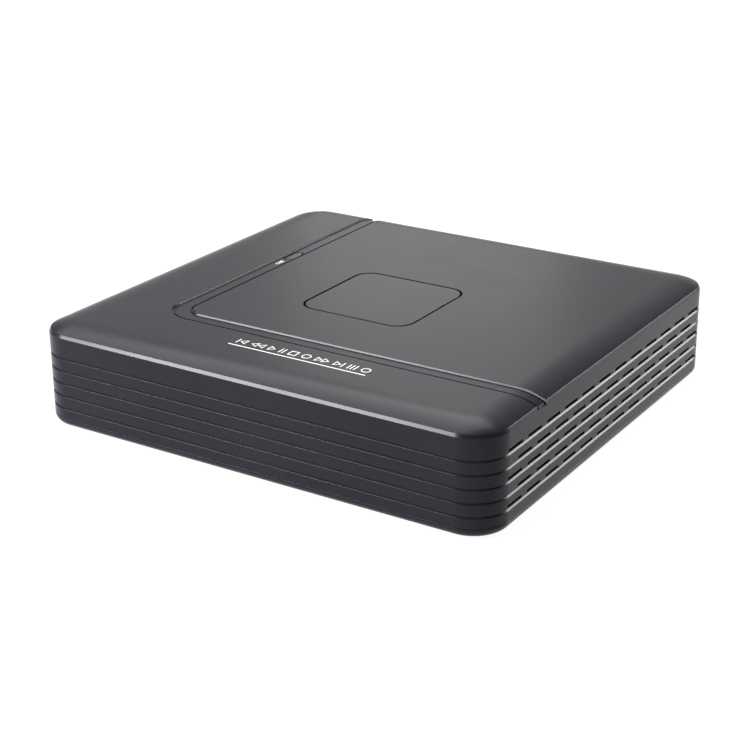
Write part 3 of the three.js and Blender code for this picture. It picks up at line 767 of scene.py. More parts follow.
def base_tray(look):
    posts = [
        rods(BOSSES, 4.2, 1, 7.7, segments=32),
        rods(DRIVE_SCREWS, 4.4, 1, span("drive_base")[0].z - GAP, segments=32),
        rods(BOARD_SCREWS, 3.2, 1, board_low.z - GAP, segments=32),
        boxes(*[((s * 88.4 - 1.4, s * 88.4 + 1.4), (91, 94.2), (1, 27.4)) for s in (-1, 1)]),
    ]
    holes = [
        rods(BOSSES + DRIVE_SCREWS, 1.8, -1, 8.5, segments=24),
        rods(BOSSES + DRIVE_SCREWS, 3.2, -2, 3.04, segments=48),
        rods(BOARD_SCREWS, 1.8, 4.7, 12, segments=24),
        rods(FEET, 6.3, -1, 0.8, segments=40),
    ]
    vents = []
    for y in FLOOR_VENTS:
        for i in range(12):
            x = (i - 5.5) * 10
            vents.append(stack(plan(3, 26, 1.4, x, y, 6), [(0, -1), (0, 3)]))
    slots = bmesh.new()
    for vent in vents:
        mesh = bpy.data.meshes.new("vent")
        vent.to_mesh(mesh)
        slots.from_mesh(mesh)
        bpy.data.meshes.remove(mesh)
        vent.free()
    tray = cut(join(tray_shell(), *posts), *holes, slots)
    return piece("tray_shell", tray, "recorder", look, ["base_tray"])


def foot(index, place, look):
    low, high = span(f"foot_{index}")
    radius = (high.x - low.x) / 2
    profile = rounded(
        [(0, low.z + 0.25), (radius - 2, low.z + 0.25, 0.3), (radius - 1.6, low.z, 0.2),
         (radius, low.z, 0.45), (radius, high.z, 0.1), (0, high.z)]
    )
    bm = lathe(profile, (*place, 0))
    return piece(f"rubber_foot_{index}", bm, "recorder", look, [f"foot_{index}"])


def cross_recess(place, mouth, depth):
    """The cross that a screwdriver turns, as a cutter from the head's mouth to some depth."""
    x, y = place
    low, high = sorted((mouth, depth))
    long = boxes(((x - 1.55, x + 1.55), (y - 0.32, y + 0.32), (low, high)))
    return long, boxes(((x - 0.32, x + 0.32), (y - 1.55, y + 1.55), (low - 0.01, high + 0.01)))


def screw(name, node, head_up, look):
    """A pan-head screw with a threaded shank, in the place and length of its CAD node."""
    low, high = span(node)
    x, y = middle(node).xy
    head = (high.x - low.x) / 2
    length = high.z - low.z
    outline = [(0, 0), (head * 0.55, 0.05), (head * 0.85, 0.35), (head, 1.1), (head, 1.9), (1.45, 1.9)]
    pitch = 0.8
    turn = 2.2
    while turn + pitch < length - 1:
        outline += [(1.5, turn + pitch * 0.5), (1.25, turn + pitch)]
        turn += pitch
    outline += [(1.3, length - 0.7), (0.5, length), (0, length)]
    if head_up:
        outline = [(r, high.z - h) for r, h in reversed(outline)]
        mouth = (high.z + 0.5, high.z - 1.1)
    else:
        outline = [(r, low.z + h) for r, h in outline]
        mouth = (low.z - 0.5, low.z + 1.1)
    body = lathe(outline, (x, y, 0), segments=32)
    body = cut(body, *cross_recess((x, y), *mouth))
    return piece(name, body, "recorder", look, [node])


# ---- Rear panel and sockets --------------------------------------------------------------------

JACKS = [f"video_jack_{i}" for i in range(1, 5)]
JACK_RISE = 7.5  # of a video jack's axis over the board's seat
AUDIO_RISES = [5.3, 14.9]
LIP = span("video_jack_1")[1].y
COLLAR = 6.3
BARREL = 4.85
PIN_RISE = 5.6
SCREEN_RISE = 6.3  # of the screen socket's axis over the board's seat


def middle_x(node):
    low, high = span(node)
    return (low.x + high.x) / 2


def screen_outline(margin, y0, y1):
    """The D of the screen socket, wider at the top, as a solid along Y."""
    x, z = middle_x("screen_socket"), SEAT + SCREEN_RISE
    bm = plan(1, 1, 0.25, segments=6)
    for vert in bm.verts:
        half = 8.4 if vert.co.y < 0 else 7.4
        vert.co.x *= 2 * (half + margin)
        vert.co.y *= 2 * (4.1 + margin)
    stack(bm, [(0, y0), (0, y1)])
    bm.transform(Matrix.Translation((x, 0, z)) @ AXES["Y"])
    return bm


def rear_panel(look):
    through = (panel_low.y - 1, panel_high.y + 1)
    sheet = node_box("rear_panel")
    jacks = [(middle_x(node), SEAT + JACK_RISE) for node in JACKS]
    audio = [(middle_x("audio_jacks"), SEAT + rise) for rise in AUDIO_RISES]
    posts = [(middle_x(f"hex_post_{side}"), SEAT + SCREEN_RISE) for side in ("left", "right")]
    windows = []
    for node in ("usb_sockets", "network_socket", "digital_video_socket", "power_socket"):
        low, high = span(node)
        windows.append(((low.x - GAP, high.x + GAP), through, (low.z - GAP, high.z + GAP)))
    sheet = cut(
        sheet,
        rods(jacks, COLLAR + GAP, *through, axis="Y"),
        rods(audio[:1], 5.2, *through, axis="Y"),
        rods(audio[1:], 5.2, *through, axis="Y"),
        rods(posts, 1.6, *through, axis="Y", segments=24),
        boxes(*windows),
        screen_outline(GAP, *through),
    )
    return piece("back_panel", sheet, "recorder", look, ["rear_panel"], edge=0.12)


def video_jack(index, look, insulator, gold, housing):
    node = JACKS[index - 1]
    low, high = span(node)
    place = ((low.x + high.x) / 2, 0, SEAT + JACK_RISE)
    root = panel_low.y - GAP
    profile = rounded(
        [(0, root - 1), (COLLAR, root - 1), (COLLAR, root + 3, 0.4), (BARREL, root + 3, 0.2),
         (BARREL, root + 4.2), (BARREL - 0.45, root + 4.5), (BARREL - 0.45, root + 5.6),
         (BARREL, root + 5.9), (BARREL, LIP, 0.35), (4.1, LIP, 0.15), (4.1, LIP - 8.5), (0, LIP - 8.5)]
    )
    barrel = lathe(profile, place, "Y", 56)
    lugs = rods([(LIP - 3.5, place[2])], 1.0, place[0] - 5.75, place[0] + 5.75, axis="X", segments=24)
    hollow = rods([(place[0], place[2])], 4.1, LIP - 8.4, LIP + 1, axis="Y", segments=56)
    barrel = cut(join(barrel, lugs), hollow)
    piece(f"{node}_barrel", barrel, "recorder", look, [node])
    block = boxes(((low.x, high.x), (low.y, root - 0.2), (SEAT, high.z)))
    piece(f"{node}_housing", eased(block, 0.5, 3), "recorder", housing)
    sleeve = rounded(
        [(0, LIP - 8.5), (2.2, LIP - 8.5), (2.2, LIP - 2, 0.3), (0.95, LIP - 2, 0.15),
         (0.95, LIP - 5), (0, LIP - 5)]
    )
    piece(f"{node}_insulator", lathe(sleeve, place, "Y", 32), "recorder", insulator)
    socket = rounded(
        [(0, LIP - 5), (0.9, LIP - 5), (0.9, LIP - 2.3, 0.1), (0.5, LIP - 2.3, 0.1),
         (0.5, LIP - 4.5), (0, LIP - 4.5)]
    )
    piece(f"{node}_contact", lathe(socket, place, "Y", 24), "recorder", gold)


def audio_jacks(look, colours, housing):
    low, high = span("audio_jacks")
    x = (low.x + high.x) / 2
    root = panel_low.y - GAP
    block = boxes(((low.x, high.x), (low.y, root - 0.2), (low.z, high.z)))
    piece("audio_housing", eased(block, 0.5, 3), "recorder", housing, ["audio_jacks"])
    for index, rise in enumerate(AUDIO_RISES, 1):
        place = (x, 0, SEAT + rise)
        shell = rounded(
            [(0, root - 1), (4.9, root - 1), (4.9, root + 1.8, 0.3), (4.15, root + 1.8, 0.15),
             (4.15, high.y, 0.35), (3.5, high.y, 0.2), (3.5, high.y - 5), (0, high.y - 5)]
        )
        piece(f"audio_jack_{index}_shell", lathe(shell, place, "Y", 48), "recorder", look)
        core = rounded(
            [(0, high.y - 5), (3.45, high.y - 5), (3.45, high.y - 0.5, 0.3), (1.75, high.y - 0.5, 0.25),
             (1.75, high.y - 7.9), (0, high.y - 7.9)]
        )
        core = lathe(core, place, "Y", 48)
        piece(f"audio_jack_{index}_insulator", core, "recorder", colours[index - 1])


def socket_shell(name, node, hollows, look, edge=0.35):
    """A folded metal shell with its hollows open to the rear, each as spans on X and Z and a depth."""
    low, high = span(node)
    shell = eased(node_box(node), edge, 3)
    tools = [boxes((x, (high.y - depth, high.y + 1), z)) for x, z, depth in hollows]
    shell = cut(shell, *tools)
    return piece(name, shell, "recorder", look, [node], edge=0.1)


def contacts(name, x, count, pitch, y, z, width, look):
    """A row of contact springs side by side."""
    springs = []
    for i in range(count):
        centre = x + (i - (count - 1) / 2) * pitch
        springs.append(((centre - width / 2, centre + width / 2), y, z))
    return piece(name, boxes(*springs), "recorder", look)


def usb_sockets(look, plastic, gold, housing):
    low, high = span("usb_sockets")
    x = (low.x + high.x) / 2
    floors = [SEAT + 1.6, SEAT + 8.9]
    hollows = [((x - 6.25, x + 6.25), (z, z + 5.1), 10.5) for z in floors]
    socket_shell("usb_shell", "usb_sockets", hollows, look)
    for index, z in enumerate(floors, 1):
        tongue = boxes(((x - 5.6, x + 5.6), (high.y - 10.4, high.y - 1), (z + 2.9, z + 4.7)))
        piece(f"usb_tongue_{index}", eased(tongue, 0.25), "recorder", plastic)
        y = (high.y - 9.5, high.y - 1.6)
        contacts(f"usb_contacts_{index}", x, 4, 2.4, y, (z + 2.75, z + 2.95), 1.0, gold)
        back = boxes(((x - 6.2, x + 6.2), (high.y - 10.6, high.y - 10.3), (z, z + 5.1)))
        piece(f"usb_back_{index}", back, "recorder", housing)


def network_socket(look, housing, gold, amber, green):
    low, high = span("network_socket")
    x = (low.x + high.x) / 2
    mouth = (SEAT + 2.3, SEAT + 9.9)
    hollows = [((low.x + 0.7, high.x - 0.7), (low.z + 0.7, high.z - 0.7), 12.4)]
    socket_shell("network_shell", "network_socket", hollows, look)
    face = boxes(((low.x + 0.8, high.x - 0.8), (high.y - 12.2, high.y - 0.4), (low.z + 0.8, high.z - 0.8)))
    face = cut(
        face,
        boxes(((x - 5.9, x + 5.9), (high.y - 11.5, high.y + 1), mouth)),
        boxes(((x - 3.2, x + 3.2), (high.y - 9, high.y + 2), (SEAT + 1.1, mouth[0] + 0.1))),
    )
    piece("network_face", face, "recorder", housing, edge=0.12)
    for side, look_now, colour in ((-1, amber, "amber"), (1, green, "green")):
        centre = x + side * 5.6
        light = boxes(
            ((centre - 1.2, centre + 1.2), (high.y - 3, high.y - 0.3), (high.z - 2.7, high.z - 1.1))
        )
        piece(f"network_light_{colour}", eased(light, 0.15), "recorder", look_now)
    springs = bmesh.new()
    for i in range(8):
        centre = x + (i - 3.5) * 1.02
        verts = box_into(springs, (centre - 0.22, centre + 0.22), (high.y - 10, high.y - 2.5), (0, 0.25))
        for vert in verts:
            vert.co.z += mouth[1] - 1.0 - (vert.co.y - high.y + 2.5) * -0.32
    piece("network_contacts", springs, "recorder", gold)


def digital_video_socket(look, housing, gold):
    low, high = span("digital_video_socket")
    x, z = (low.x + high.x) / 2, (low.z + high.z) / 2
    hollows = [((x - 7, x + 7), (z - 2.3, z + 2.3), 9)]
    socket_shell("digital_video_shell", "digital_video_socket", hollows, look, edge=0.6)
    tongue = boxes(((x - 5, x + 5), (high.y - 9.2, high.y - 1), (z - 0.6, z + 0.6)))
    piece("digital_video_tongue", eased(tongue, 0.2), "recorder", housing)
    y = (high.y - 8, high.y - 1.5)
    contacts("digital_video_contacts", x, 9, 1.0, y, (z + 0.58, z + 0.66), 0.45, gold)


def screen_socket(look, insert, housing, gold):
    low, high = span("screen_socket")
    x, z = (low.x + high.x) / 2, SEAT + SCREEN_RISE
    root = panel_low.y - GAP
    body = eased(boxes(((low.x, high.x), (low.y, root), (low.z, high.z))), 0.5, 3)
    studs = [(middle_x(f"hex_post_{side}"), z) for side in ("left", "right")]
    body = cut(body, rods(studs, 1.6, root - 5, root + 1, axis="Y", segments=24))
    piece("screen_housing", body, "recorder", housing, ["screen_socket"])
    shell = cut(screen_outline(0, root + 0.1, high.y), screen_outline(-0.5, root - 1, high.y + 1))
    piece("screen_shell", shell, "recorder", look, edge=0.12)
    core = screen_outline(-0.55, root + 0.2, high.y - 0.6)
    pins = [(x + (i - 2) * 2.29 + shift, z + rise)
            for rise, shift in ((1.98, 0.57), (0, -0.57), (-1.98, 0.57)) for i in range(5)]
    core = cut(core, rods(pins, 0.55, high.y - 3, high.y + 1, axis="Y", segments=16))
    piece("screen_insert", core, "recorder", insert, edge=0.1)
    piece("screen_contacts", rods(pins, 0.4, high.y - 3, high.y - 2, axis="Y", segments=12),
          "recorder", gold)


def hex_post(side, look):
    node = f"hex_post_{side}"
    low, high = span(node)
    place = [((low.x + high.x) / 2, SEAT + SCREEN_RISE)]
    face = panel_high.y + GAP
    post = rods(place, 2.75, face, high.y, axis="Y", segments=6)
    post = join(eased(post, 0.3, over=40), rods(place, 1.3, low.y, face + 1, axis="Y", segments=24))
    post = cut(post, rods(place, 1.25, high.y - 4.5, high.y + 1, axis="Y", segments=24))
    piece(f"hexagonal_post_{side}", post, "recorder", look, [node])


def power_socket(look, metal):
    low, high = span("power_socket")
    x, z = (low.x + high.x) / 2, SEAT + PIN_RISE
    block = eased(node_box("power_socket"), 0.5, 3)
    block = cut(block, rods([(x, z)], 3.2, high.y - 9, high.y + 1, axis="Y"))
    piece("power_housing", block, "recorder", look, ["power_socket"], edge=0.15)
    sleeve = lathe(
        [(3.15, high.y - 8.8), (3.15, high.y - 1.2), (2.95, high.y - 1.2), (2.95, high.y - 8.8),
         (3.15, high.y - 8.8)], (x, 0, z), "Y",
    )
    piece("power_sleeve", sleeve, "recorder", metal)
    tip = rounded([(0, high.y - 9.1), (1.05, high.y - 9.1), (1.05, high.y - 1, 0.5), (0, high.y - 1)])
    piece("power_pin", lathe(tip, (x, 0, z), "Y", 32), "recorder", metal)


# ---- Main board --------------------------------------------------------------------------------


def main_board(look):
    sheet = cut(node_box("main_board"), rods(BOARD_SCREWS, 1.8, 0, SEAT + 1, segments=32))
    piece("circuit_board", sheet, "recorder", look, ["main_board"], edge=0.08)


def tracks(look):
    """Copper tracks under the mask: bundles of parallel lines that turn square corners."""
    draw = random.Random(11)
    top = board_high.z
    bm = bmesh.new()
    for _ in range(46):
        x = draw.uniform(board_low.x + 8, board_high.x - 34)
        y = draw.uniform(board_low.y + 5, board_high.y - 22)
        run, rise = draw.uniform(8, 30), draw.uniform(5, 20)
        for line in range(draw.randint(3, 7)):
            step = line * 0.8
            level = (top, top + 0.03)
            box_into(bm, (x + step, x + run - step), (y + step, y + step + 0.32), level)
            right = (x + run - step - 0.32, x + run - step)
            box_into(bm, right, (y + step + 0.32, y + rise + step), level)
    piece("board_tracks", bm, "recorder", look)


def silkscreen(look):
    """White outlines printed round the bigger parts."""
    bm = bmesh.new()
    top = board_high.z + 0.03
    nodes = ["heat_sink", "memory_chip_1", "memory_chip_2", "flash_chip", "network_transformer",
             "coin_cell_holder", "buzzer", "capacitor_1", "capacitor_2", "power_inductor"]
    for node in nodes:
        low, high = span(node)
        x0, x1, y0, y1 = low.x - 1.4, high.x + 1.4, low.y - 1.4, high.y + 1.4
        for x, y in (((x0, x1), (y0, y0 + 0.2)), ((x0, x1), (y1 - 0.2, y1)),
                     ((x0, x0 + 0.2), (y0 + 0.2, y1 - 0.2)), ((x1 - 0.2, x1), (y0 + 0.2, y1 - 0.2))):
            box_into(bm, x, y, (top, top + 0.02))
    piece("board_print", bm, "recorder", look)


CHIP_PITCH = 1.7  # of the small parts in a row
CHIP_SPACE = 1.4  # kept clear around a row
CHIP_BODY = 0.48  # half its length, without the ends
CHIP_HALF = 0.4  # half its width
CHIP_HEIGHT = 0.5
END_HALF = 0.16  # half an end's length
END_PLACE = 0.64  # of an end's middle from the chip's


def small_parts(body_look, end_look):
    """Chip resistors and capacitors in short rows, each a body with two tinned ends."""
    draw = random.Random(5)
    taken = [span(node) for node in frame["nodes"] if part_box(node)[0].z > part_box("main_board")[0].z]
    bodies, ends = bmesh.new(), bmesh.new()
    for _ in range(900):
        x = draw.uniform(board_low.x + 3, board_high.x - 9)
        y = draw.uniform(board_low.y + 3, board_high.y - 24)
        along_y = draw.random() < 0.5
        count = draw.randint(2, 6)
        run = (count - 1) * CHIP_PITCH
        far_x, far_y = (x, y + run) if along_y else (x + run, y)
        reach = CHIP_SPACE + 0.8
        if any(
            low.x - reach < far_x and high.x + reach > x and low.y - reach < far_y and high.y + reach > y
            for low, high in taken
        ):
            continue
        taken.append((Vector((x, y, 0)), Vector((far_x, far_y, 0))))
        for i in range(count):
            px = x if along_y else x + i * CHIP_PITCH
            py = y + i * CHIP_PITCH if along_y else y
            top = board_high.z + CHIP_HEIGHT
            mid_x, mid_y = (CHIP_BODY, CHIP_HALF) if along_y else (CHIP_HALF, CHIP_BODY)
            box_into(bodies, (px - mid_x, px + mid_x), (py - mid_y, py + mid_y), (board_high.z, top))
            end_x, end_y = (END_HALF, CHIP_HALF) if along_y else (CHIP_HALF, END_HALF)
            for side in (-END_PLACE, END_PLACE):
                cx, cy = (px + side, py) if along_y else (px, py + side)
                span_x, span_y = (cx - end_x, cx + end_x), (cy - end_y, cy + end_y)
                box_into(ends, span_x, span_y, (board_high.z, top + 0.02))
    piece("small_part_bodies", bodies, "recorder", body_look)
    piece("small_part_ends", ends, "recorder", end_look)


def legs(node, count, look, along="Y"):
    """Gull-wing legs down both sides of a chip, joined into one mesh."""
    low, high = span(node)
    bm = bmesh.new()
    start, end = (low.y, high.y) if along == "Y" else (low.x, high.x)
    edges = (low.x, high.x) if along == "Y" else (low.y, high.y)
    pitch = (end - start - 0.8) / (count - 1)
    for i in range(count):
        spot = start + 0.4 + i * pitch
        half = pitch * 0.27
        for side, edge in zip((-1, 1), edges):
            out = sorted((edge + side * 0.02, edge + side * 0.5))
            toe = sorted((edge + side * 0.5, edge + side * 1.1))
            for reach, z in ((out, (SEAT + 0.25, SEAT + 0.45)), (toe, (board_high.z, board_high.z + 0.2))):
                pair = ((reach[0], reach[1]), (spot - half, spot + half))
                x, y = pair if along == "Y" else pair[::-1]
                box_into(bm, x, y, z)
            knee = sorted((edge + side * 0.42, edge + side * 0.6))
            pair = ((knee[0], knee[1]), (spot - half, spot + half))
            x, y = pair if along == "Y" else pair[::-1]
            box_into(bm, x, y, (board_high.z, SEAT + 0.45))
    piece(f"{node}_legs", bm, "recorder", look)


def chips(look, tin):
    for node in ("video_processor", "memory_chip_1", "memory_chip_2", "flash_chip", "network_transformer"):
        low, high = span(node)
        bm = eased(node_box(node), 0.18)
        dot = rods([(low.x + 1.2, high.y - 1.2)], 0.4, high.z - 0.08, high.z + 1, segments=16)
        piece(f"{node}_package", cut(bm, dot), "recorder", look, [node])
    legs("memory_chip_1", 18, tin)
    legs("memory_chip_2", 18, tin)
    legs("flash_chip", 4, tin, "X")
    legs("network_transformer", 8, tin, "X")


def heat_sink(look):
    piece("finned_heat_sink", eased(loose_copy("heat_sink"), 0.2), "recorder", look,
          ["heat_sink"])


def coin_cell(plastic, steel):
    low, high = span("coin_cell_holder")
    x, y = (low.x + high.x) / 2, (low.y + high.y) / 2
    radius = (high.x - low.x) / 2
    cup = rounded(
        [(0, SEAT), (radius, SEAT, 0.2), (radius, high.z, 0.35), (10.3, high.z, 0.25),
         (10.3, SEAT + 1), (0, SEAT + 1)]
    )
    gate = boxes(((x - 3, x + 3), (y - 14, y - 8), (SEAT + 2.2, SEAT + 9)))
    cup = cut(lathe(cup, (x, y, 0), segments=64), gate)
    piece("cell_holder", cup, "recorder", plastic, ["coin_cell_holder"])
    low, high = span("coin_cell")
    can = rounded(
        [(0, low.z), (8.8, low.z, 0.2), (9.1, low.z + 0.5), (10, low.z + 0.5, 0.3),
         (10, high.z, 0.7), (0, high.z)]
    )
    piece("cell_can", lathe(can, (x, y, 0), segments=64), "recorder", steel, ["coin_cell"])
    clip = boxes(((x - 2.2, x + 2.2), (y - 1, y + 11), (high.z + 0.02, high.z + 0.3)))
    piece("cell_clip", eased(clip, 0.08), "recorder", steel)


def buzzer(look):
    low, high = span("buzzer")
    x, y, radius = (low.x + high.x) / 2, (low.y + high.y) / 2, (high.x - low.x) / 2
    can = rounded(
        [(0, low.z), (radius, low.z), (radius, high.z, 0.5), (1, high.z, 0.15),
         (1, high.z - 3), (0, high.z - 3)]
    )
    piece("sounder_can", lathe(can, (x, y, 0)), "recorder", look, ["buzzer"])


def capacitor(index, sleeve, metal):
    node = f"capacitor_{index}"
    low, high = span(node)
    x, y, radius = (low.x + high.x) / 2, (low.y + high.y) / 2, (high.x - low.x) / 2
    jacket = rounded(
        [(0, low.z), (radius, low.z, 0.3), (radius, low.z + 1.4, 0.3), (radius - 0.35, low.z + 1.9, 0.3),
         (radius, low.z + 2.4, 0.3), (radius, high.z, 0.5), (radius - 1, high.z),
         (radius - 1.05, high.z - 0.3), (0, high.z - 0.3)]
    )
    piece(f"{node}_sleeve", lathe(jacket, (x, y, 0)), "recorder", sleeve, [node])
    disc = rods([(x, y)], radius - 1.1, high.z - 0.3, high.z - 0.12)
    vent = (high.z - 0.2, high.z + 1)
    disc = cut(
        disc,
        boxes(((x - 2.2, x + 2.2), (y - 0.1, y + 0.1), vent)),
        boxes(((x - 0.1, x + 0.1), (y - 2.2, y + 2.2), vent)),
    )
    piece(f"{node}_top", disc, "recorder", metal)


def power_inductor(core_look, tin):
    low, high = span("power_inductor")
    x, y = (low.x + high.x) / 2, (low.y + high.y) / 2
    core = stack(
        plan(high.x - low.x, high.y - low.y, 2.4, x, y),
        rounded([(0.3, low.z), (0, low.z + 0.3), (0, high.z, 0.5), (1.5, high.z)]),
    )
    core = cut(core, rods([(x, y)], 3.9, high.z - 0.35, high.z + 1))
    piece("inductor_core", core, "recorder", core_look, ["power_inductor"])
    pads = boxes(*[((x + s * 6.05 - 0.35, x + s * 6.05 + 0.35), (y - 2, y + 2),
                    (board_high.z, board_high.z + 1.2)) for s in (-1, 1)])
    piece("inductor_pads", pads, "recorder", tin)


def indicator(look):
    low, high = span("indicator_led")
    x, y = (low.x + high.x) / 2, (low.y + high.y) / 2
    dome = rounded(
        [(0, low.z), (1.9, low.z), (1.9, low.z + 1, 0.15), (1.5, low.z + 1), (1.5, high.z, 1.4),
         (0, high.z)], 6,
    )
    piece("indicator_dome", lathe(dome, (x, y, 0), segments=32), "recorder", look,
          ["indicator_led"])


def crystal(look):
    wall = rounded(
        [(0.4, board_high.z), (0.4, SEAT + 0.2), (0, SEAT + 0.3), (0, SEAT + 0.7), (0.5, SEAT + 0.9),
         (0.5, SEAT + 3.6, 0.4), (1.8, SEAT + 3.6)]
    )
    can = stack(plan(11, 4.6, 2.2, -22, 27), wall)
    piece("clock_crystal", can, "recorder", look)


def headers(look, gold):
    for node, count in (("drive_data_header", 7), ("drive_power_header", 4)):
        low, high = span(node)
        piece(f"{node}_body", eased(loose_copy(node), 0.2), "recorder", look, [node])
        pitch = (high.x - low.x - 4) / (count - 1)
        contacts(f"{node}_pins", (low.x + high.x) / 2, count, pitch, (high.y - 0.2, high.y + 0.7),
                 (board_high.z, SEAT + 1.6), 0.45, gold)


# ---- Disk drive --------------------------------------------------------------------------------


def drive_case(casting, sheet, resin, gold, green, ink, film, zinc):
    piece("drive_casting", eased(loose_copy("drive_base"), 0.35, over=60), "recorder", casting,
          ["drive_base"])
    low, high = span("drive_lid")
    x, y = (low.x + high.x) / 2, (low.y + high.y) / 2
    flange = high.z - 0.9
    width, depth = high.x - low.x, high.y - low.y
    lid = stack(plan(width, depth, 5, x, y, 16), rounded([(0, low.z), (0, flange, 0.3), (2, flange)]))
    raised = rounded([(0, low.z + 0.2), (0, flange), (0.9, high.z, 0.4), (3, high.z)])
    lid = join(lid, stack(plan(width - 10, depth - 10, 9, x, y, 16), raised))
    spindle = middle("drive_platters")
    lid = cut(
        lid,
        rods([(spindle.x, spindle.y)], 21, high.z - 0.45, high.z + 1, segments=72),
        rods([(19, -58)], 8, high.z - 0.45, high.z + 1, segments=48),
    )
    lid = join(lid, rods([(spindle.x, spindle.y)], 9, high.z - 0.6, high.z - 0.05, tip=8.6))
    piece("drive_cover_sheet", lid, "recorder", sheet, ["drive_lid"])
    label = stack(plan(66, 52, 2, x + 28, y + 13), [(0, high.z), (0, high.z + 0.08)])
    piece("drive_label", label, "recorder", film)
    bars = bmesh.new()
    draw = random.Random(3)
    left = x + 2
    while left < x + 40:
        wide = draw.choice((0.4, 0.7, 1.1))
        box_into(bars, (left, left + wide), (y + 26, y + 34), (high.z + 0.08, high.z + 0.1))
        left += wide + draw.choice((0.5, 0.8))
    for row in range(4):
        box_into(bars, (x + 2, x + 54 - row * 7), (y - 6 + row * 7, y - 5 + row * 7),
                 (high.z + 0.08, high.z + 0.1))
    piece("drive_label_print", bars, "recorder", ink)
    for i, (sx, sy) in enumerate([(-1, -1), (1, -1), (-1, 1), (1, 1), (0, -1), (0, 1)]):
        spot = (x + sx * 68.8, y + sy * 46.2)
        head = rods([spot], 2.1, flange, flange + 0.75, tip=1.7, segments=32)
        head = cut(head, rods([spot], 0.9, flange + 0.25, flange + 2, segments=6))
        piece(f"drive_lid_screw_{i + 1}", head, "recorder", zinc)
    piece("drive_board", eased(loose_copy("drive_controller_board"), 0.1), "recorder", green,
          ["drive_controller_board"])
    piece("drive_plug_block", eased(loose_copy("drive_connector"), 0.3), "recorder", resin,
          ["drive_connector"])


def drive_insides(coating, casting, nickel):
    low, high = span("drive_platters")
    centre = middle("drive_platters")
    radius = (high.x - low.x) / 2
    profile = rounded(
        [(3.3, low.z), (12.5, low.z), (12.5, 15), (radius, 15, 0.2), (radius, 16.3, 0.2), (12.5, 16.3),
         (12.5, 21), (radius, 21, 0.2), (radius, 22.3, 0.2), (16, 22.3), (16, high.z, 0.4), (3.3, high.z),
         (3.3, low.z)]
    )
    discs = lathe(profile, (centre.x, centre.y, 0), segments=96)
    piece("disc_pack", discs, "platters", coating, ["drive_platters"])
    piece("actuator_arm", eased(loose_copy("drive_head_arm"), 0.12, over=60), "head_arm", casting,
          ["drive_head_arm"])
    piece("voice_coil_magnet", eased(loose_copy("drive_magnet"), 0.2, over=60), "recorder", nickel,
          ["drive_magnet"])


# ---- Leads inside the case ---------------------------------------------------------------------

DATA_ROUTE = [(68, -22, 10.8), (75, -22, 10.8), (81, -17.5, 11.8), (80.5, -10, 13), (73, -4, 14.2),
              (68.5, 1, 14.3), (68.5, 7, 14.3)]
POWER_ROUTE = [(69, -44.5, 10.8), (78, -44.5, 10.8), (88, -39, 11.5), (93, -27, 12.5),
               (92, -12, 13.6), (84, -3, 14.3), (81.3, 2, 14.3), (81.3, 7, 14.3)]


def swept(route, depth, extrude=0.0, tilts=None):
    """A mesh swept along a smooth route: round of a radius, or flat where extrude is given."""
    curve = bpy.data.curves.new("route", "CURVE")
    curve.dimensions = "3D"
    curve.twist_mode = "Z_UP"
    curve.bevel_depth = depth
    curve.bevel_resolution = 3
    curve.extrude = extrude
    curve.resolution_u = 8
    curve.use_fill_caps = True
    spline = curve.splines.new("BEZIER")
    spline.bezier_points.add(len(route) - 1)
    for index, (point, place) in enumerate(zip(spline.bezier_points, route)):
        point.co = place
        point.handle_left_type = point.handle_right_type = "AUTO"
        point.tilt = math.radians(tilts[index]) if tilts else 0
    holder = bpy.data.objects.new("route", curve)
    bpy.context.scene.collection.objects.link(holder)
    bpy.context.view_layer.update()
    graph = bpy.context.evaluated_depsgraph_get()
    mesh = bpy.data.meshes.new_from_object(holder.evaluated_get(graph))
    bm = bmesh.new()
    bm.from_mesh(mesh)
    bmesh.ops.remove_doubles(bm, verts=bm.verts, dist=1e-3)
    bmesh.ops.recalc_face_normals(bm, faces=bm.faces)
    bpy.data.meshes.remove(mesh)
    bpy.data.objects.remove(holder)
    bpy.data.curves.remove(curve)
    return bm


def data_lead(vinyl, plastic):
    ribbon = swept(DATA_ROUTE, 0.55, 2.6, [90, 80, 30, 0, 30, 80, 90])
    piece("data_ribbon", ribbon, "recorder", vinyl, ["drive_data_lead"])
    for name, box in (("drive", ((60.8, 70), (-28, -16), (8, 13.6))),
                      ("board", ((62, 75), (4.5, 13.7), (11.6, 17)))):
        piece(f"data_plug_{name}", eased(boxes(box), 0.6, 3), "recorder", plastic)


def power_lead(wires, plastic):
    for index, look in enumerate(wires):
        side, lift = [(-1, -1), (1, -1), (-1, 1), (1, 1)][index]
        shifted = []
        for i, (x, y, z) in enumerate(POWER_ROUTE):
            before = Vector(POWER_ROUTE[max(i - 1, 0)])
            after = Vector(POWER_ROUTE[min(i + 1, len(POWER_ROUTE) - 1)])
            across = (after - before).cross(Vector((0, 0, 1))).normalized()
            spread = 0.95
            shifted.append(Vector((x, y, z + lift * spread)) + across * side * spread)
        stands_for = ["drive_power_lead"] if index == 0 else []
        piece(f"power_wire_{index + 1}", swept(shifted, 0.85), "recorder", look, stands_for)
    for name, box in (("drive", ((60.8, 71), (-53, -36), (8, 13.6))),
                      ("board", ((77.2, 85.4), (4.5, 13.7), (11.6, 17)))):
        piece(f"power_plug_{name}", eased(boxes(box), 0.6, 3), "recorder", plastic)


# ---- Printing ----------------------------------------------------------------------------------


def outlined(bm, points, stroke, z):
    """A closed outline drawn as a printed stroke."""
    face = bm.faces.new([bm.verts.new((x, y, z)) for x, y in points])
    face.normal_update()
    bmesh.ops.inset_region(
        bm, faces=[face], thickness=stroke, use_even_offset=True, use_boundary=True
    )
    bmesh.ops.delete(bm, geom=[face], context="FACES_ONLY")


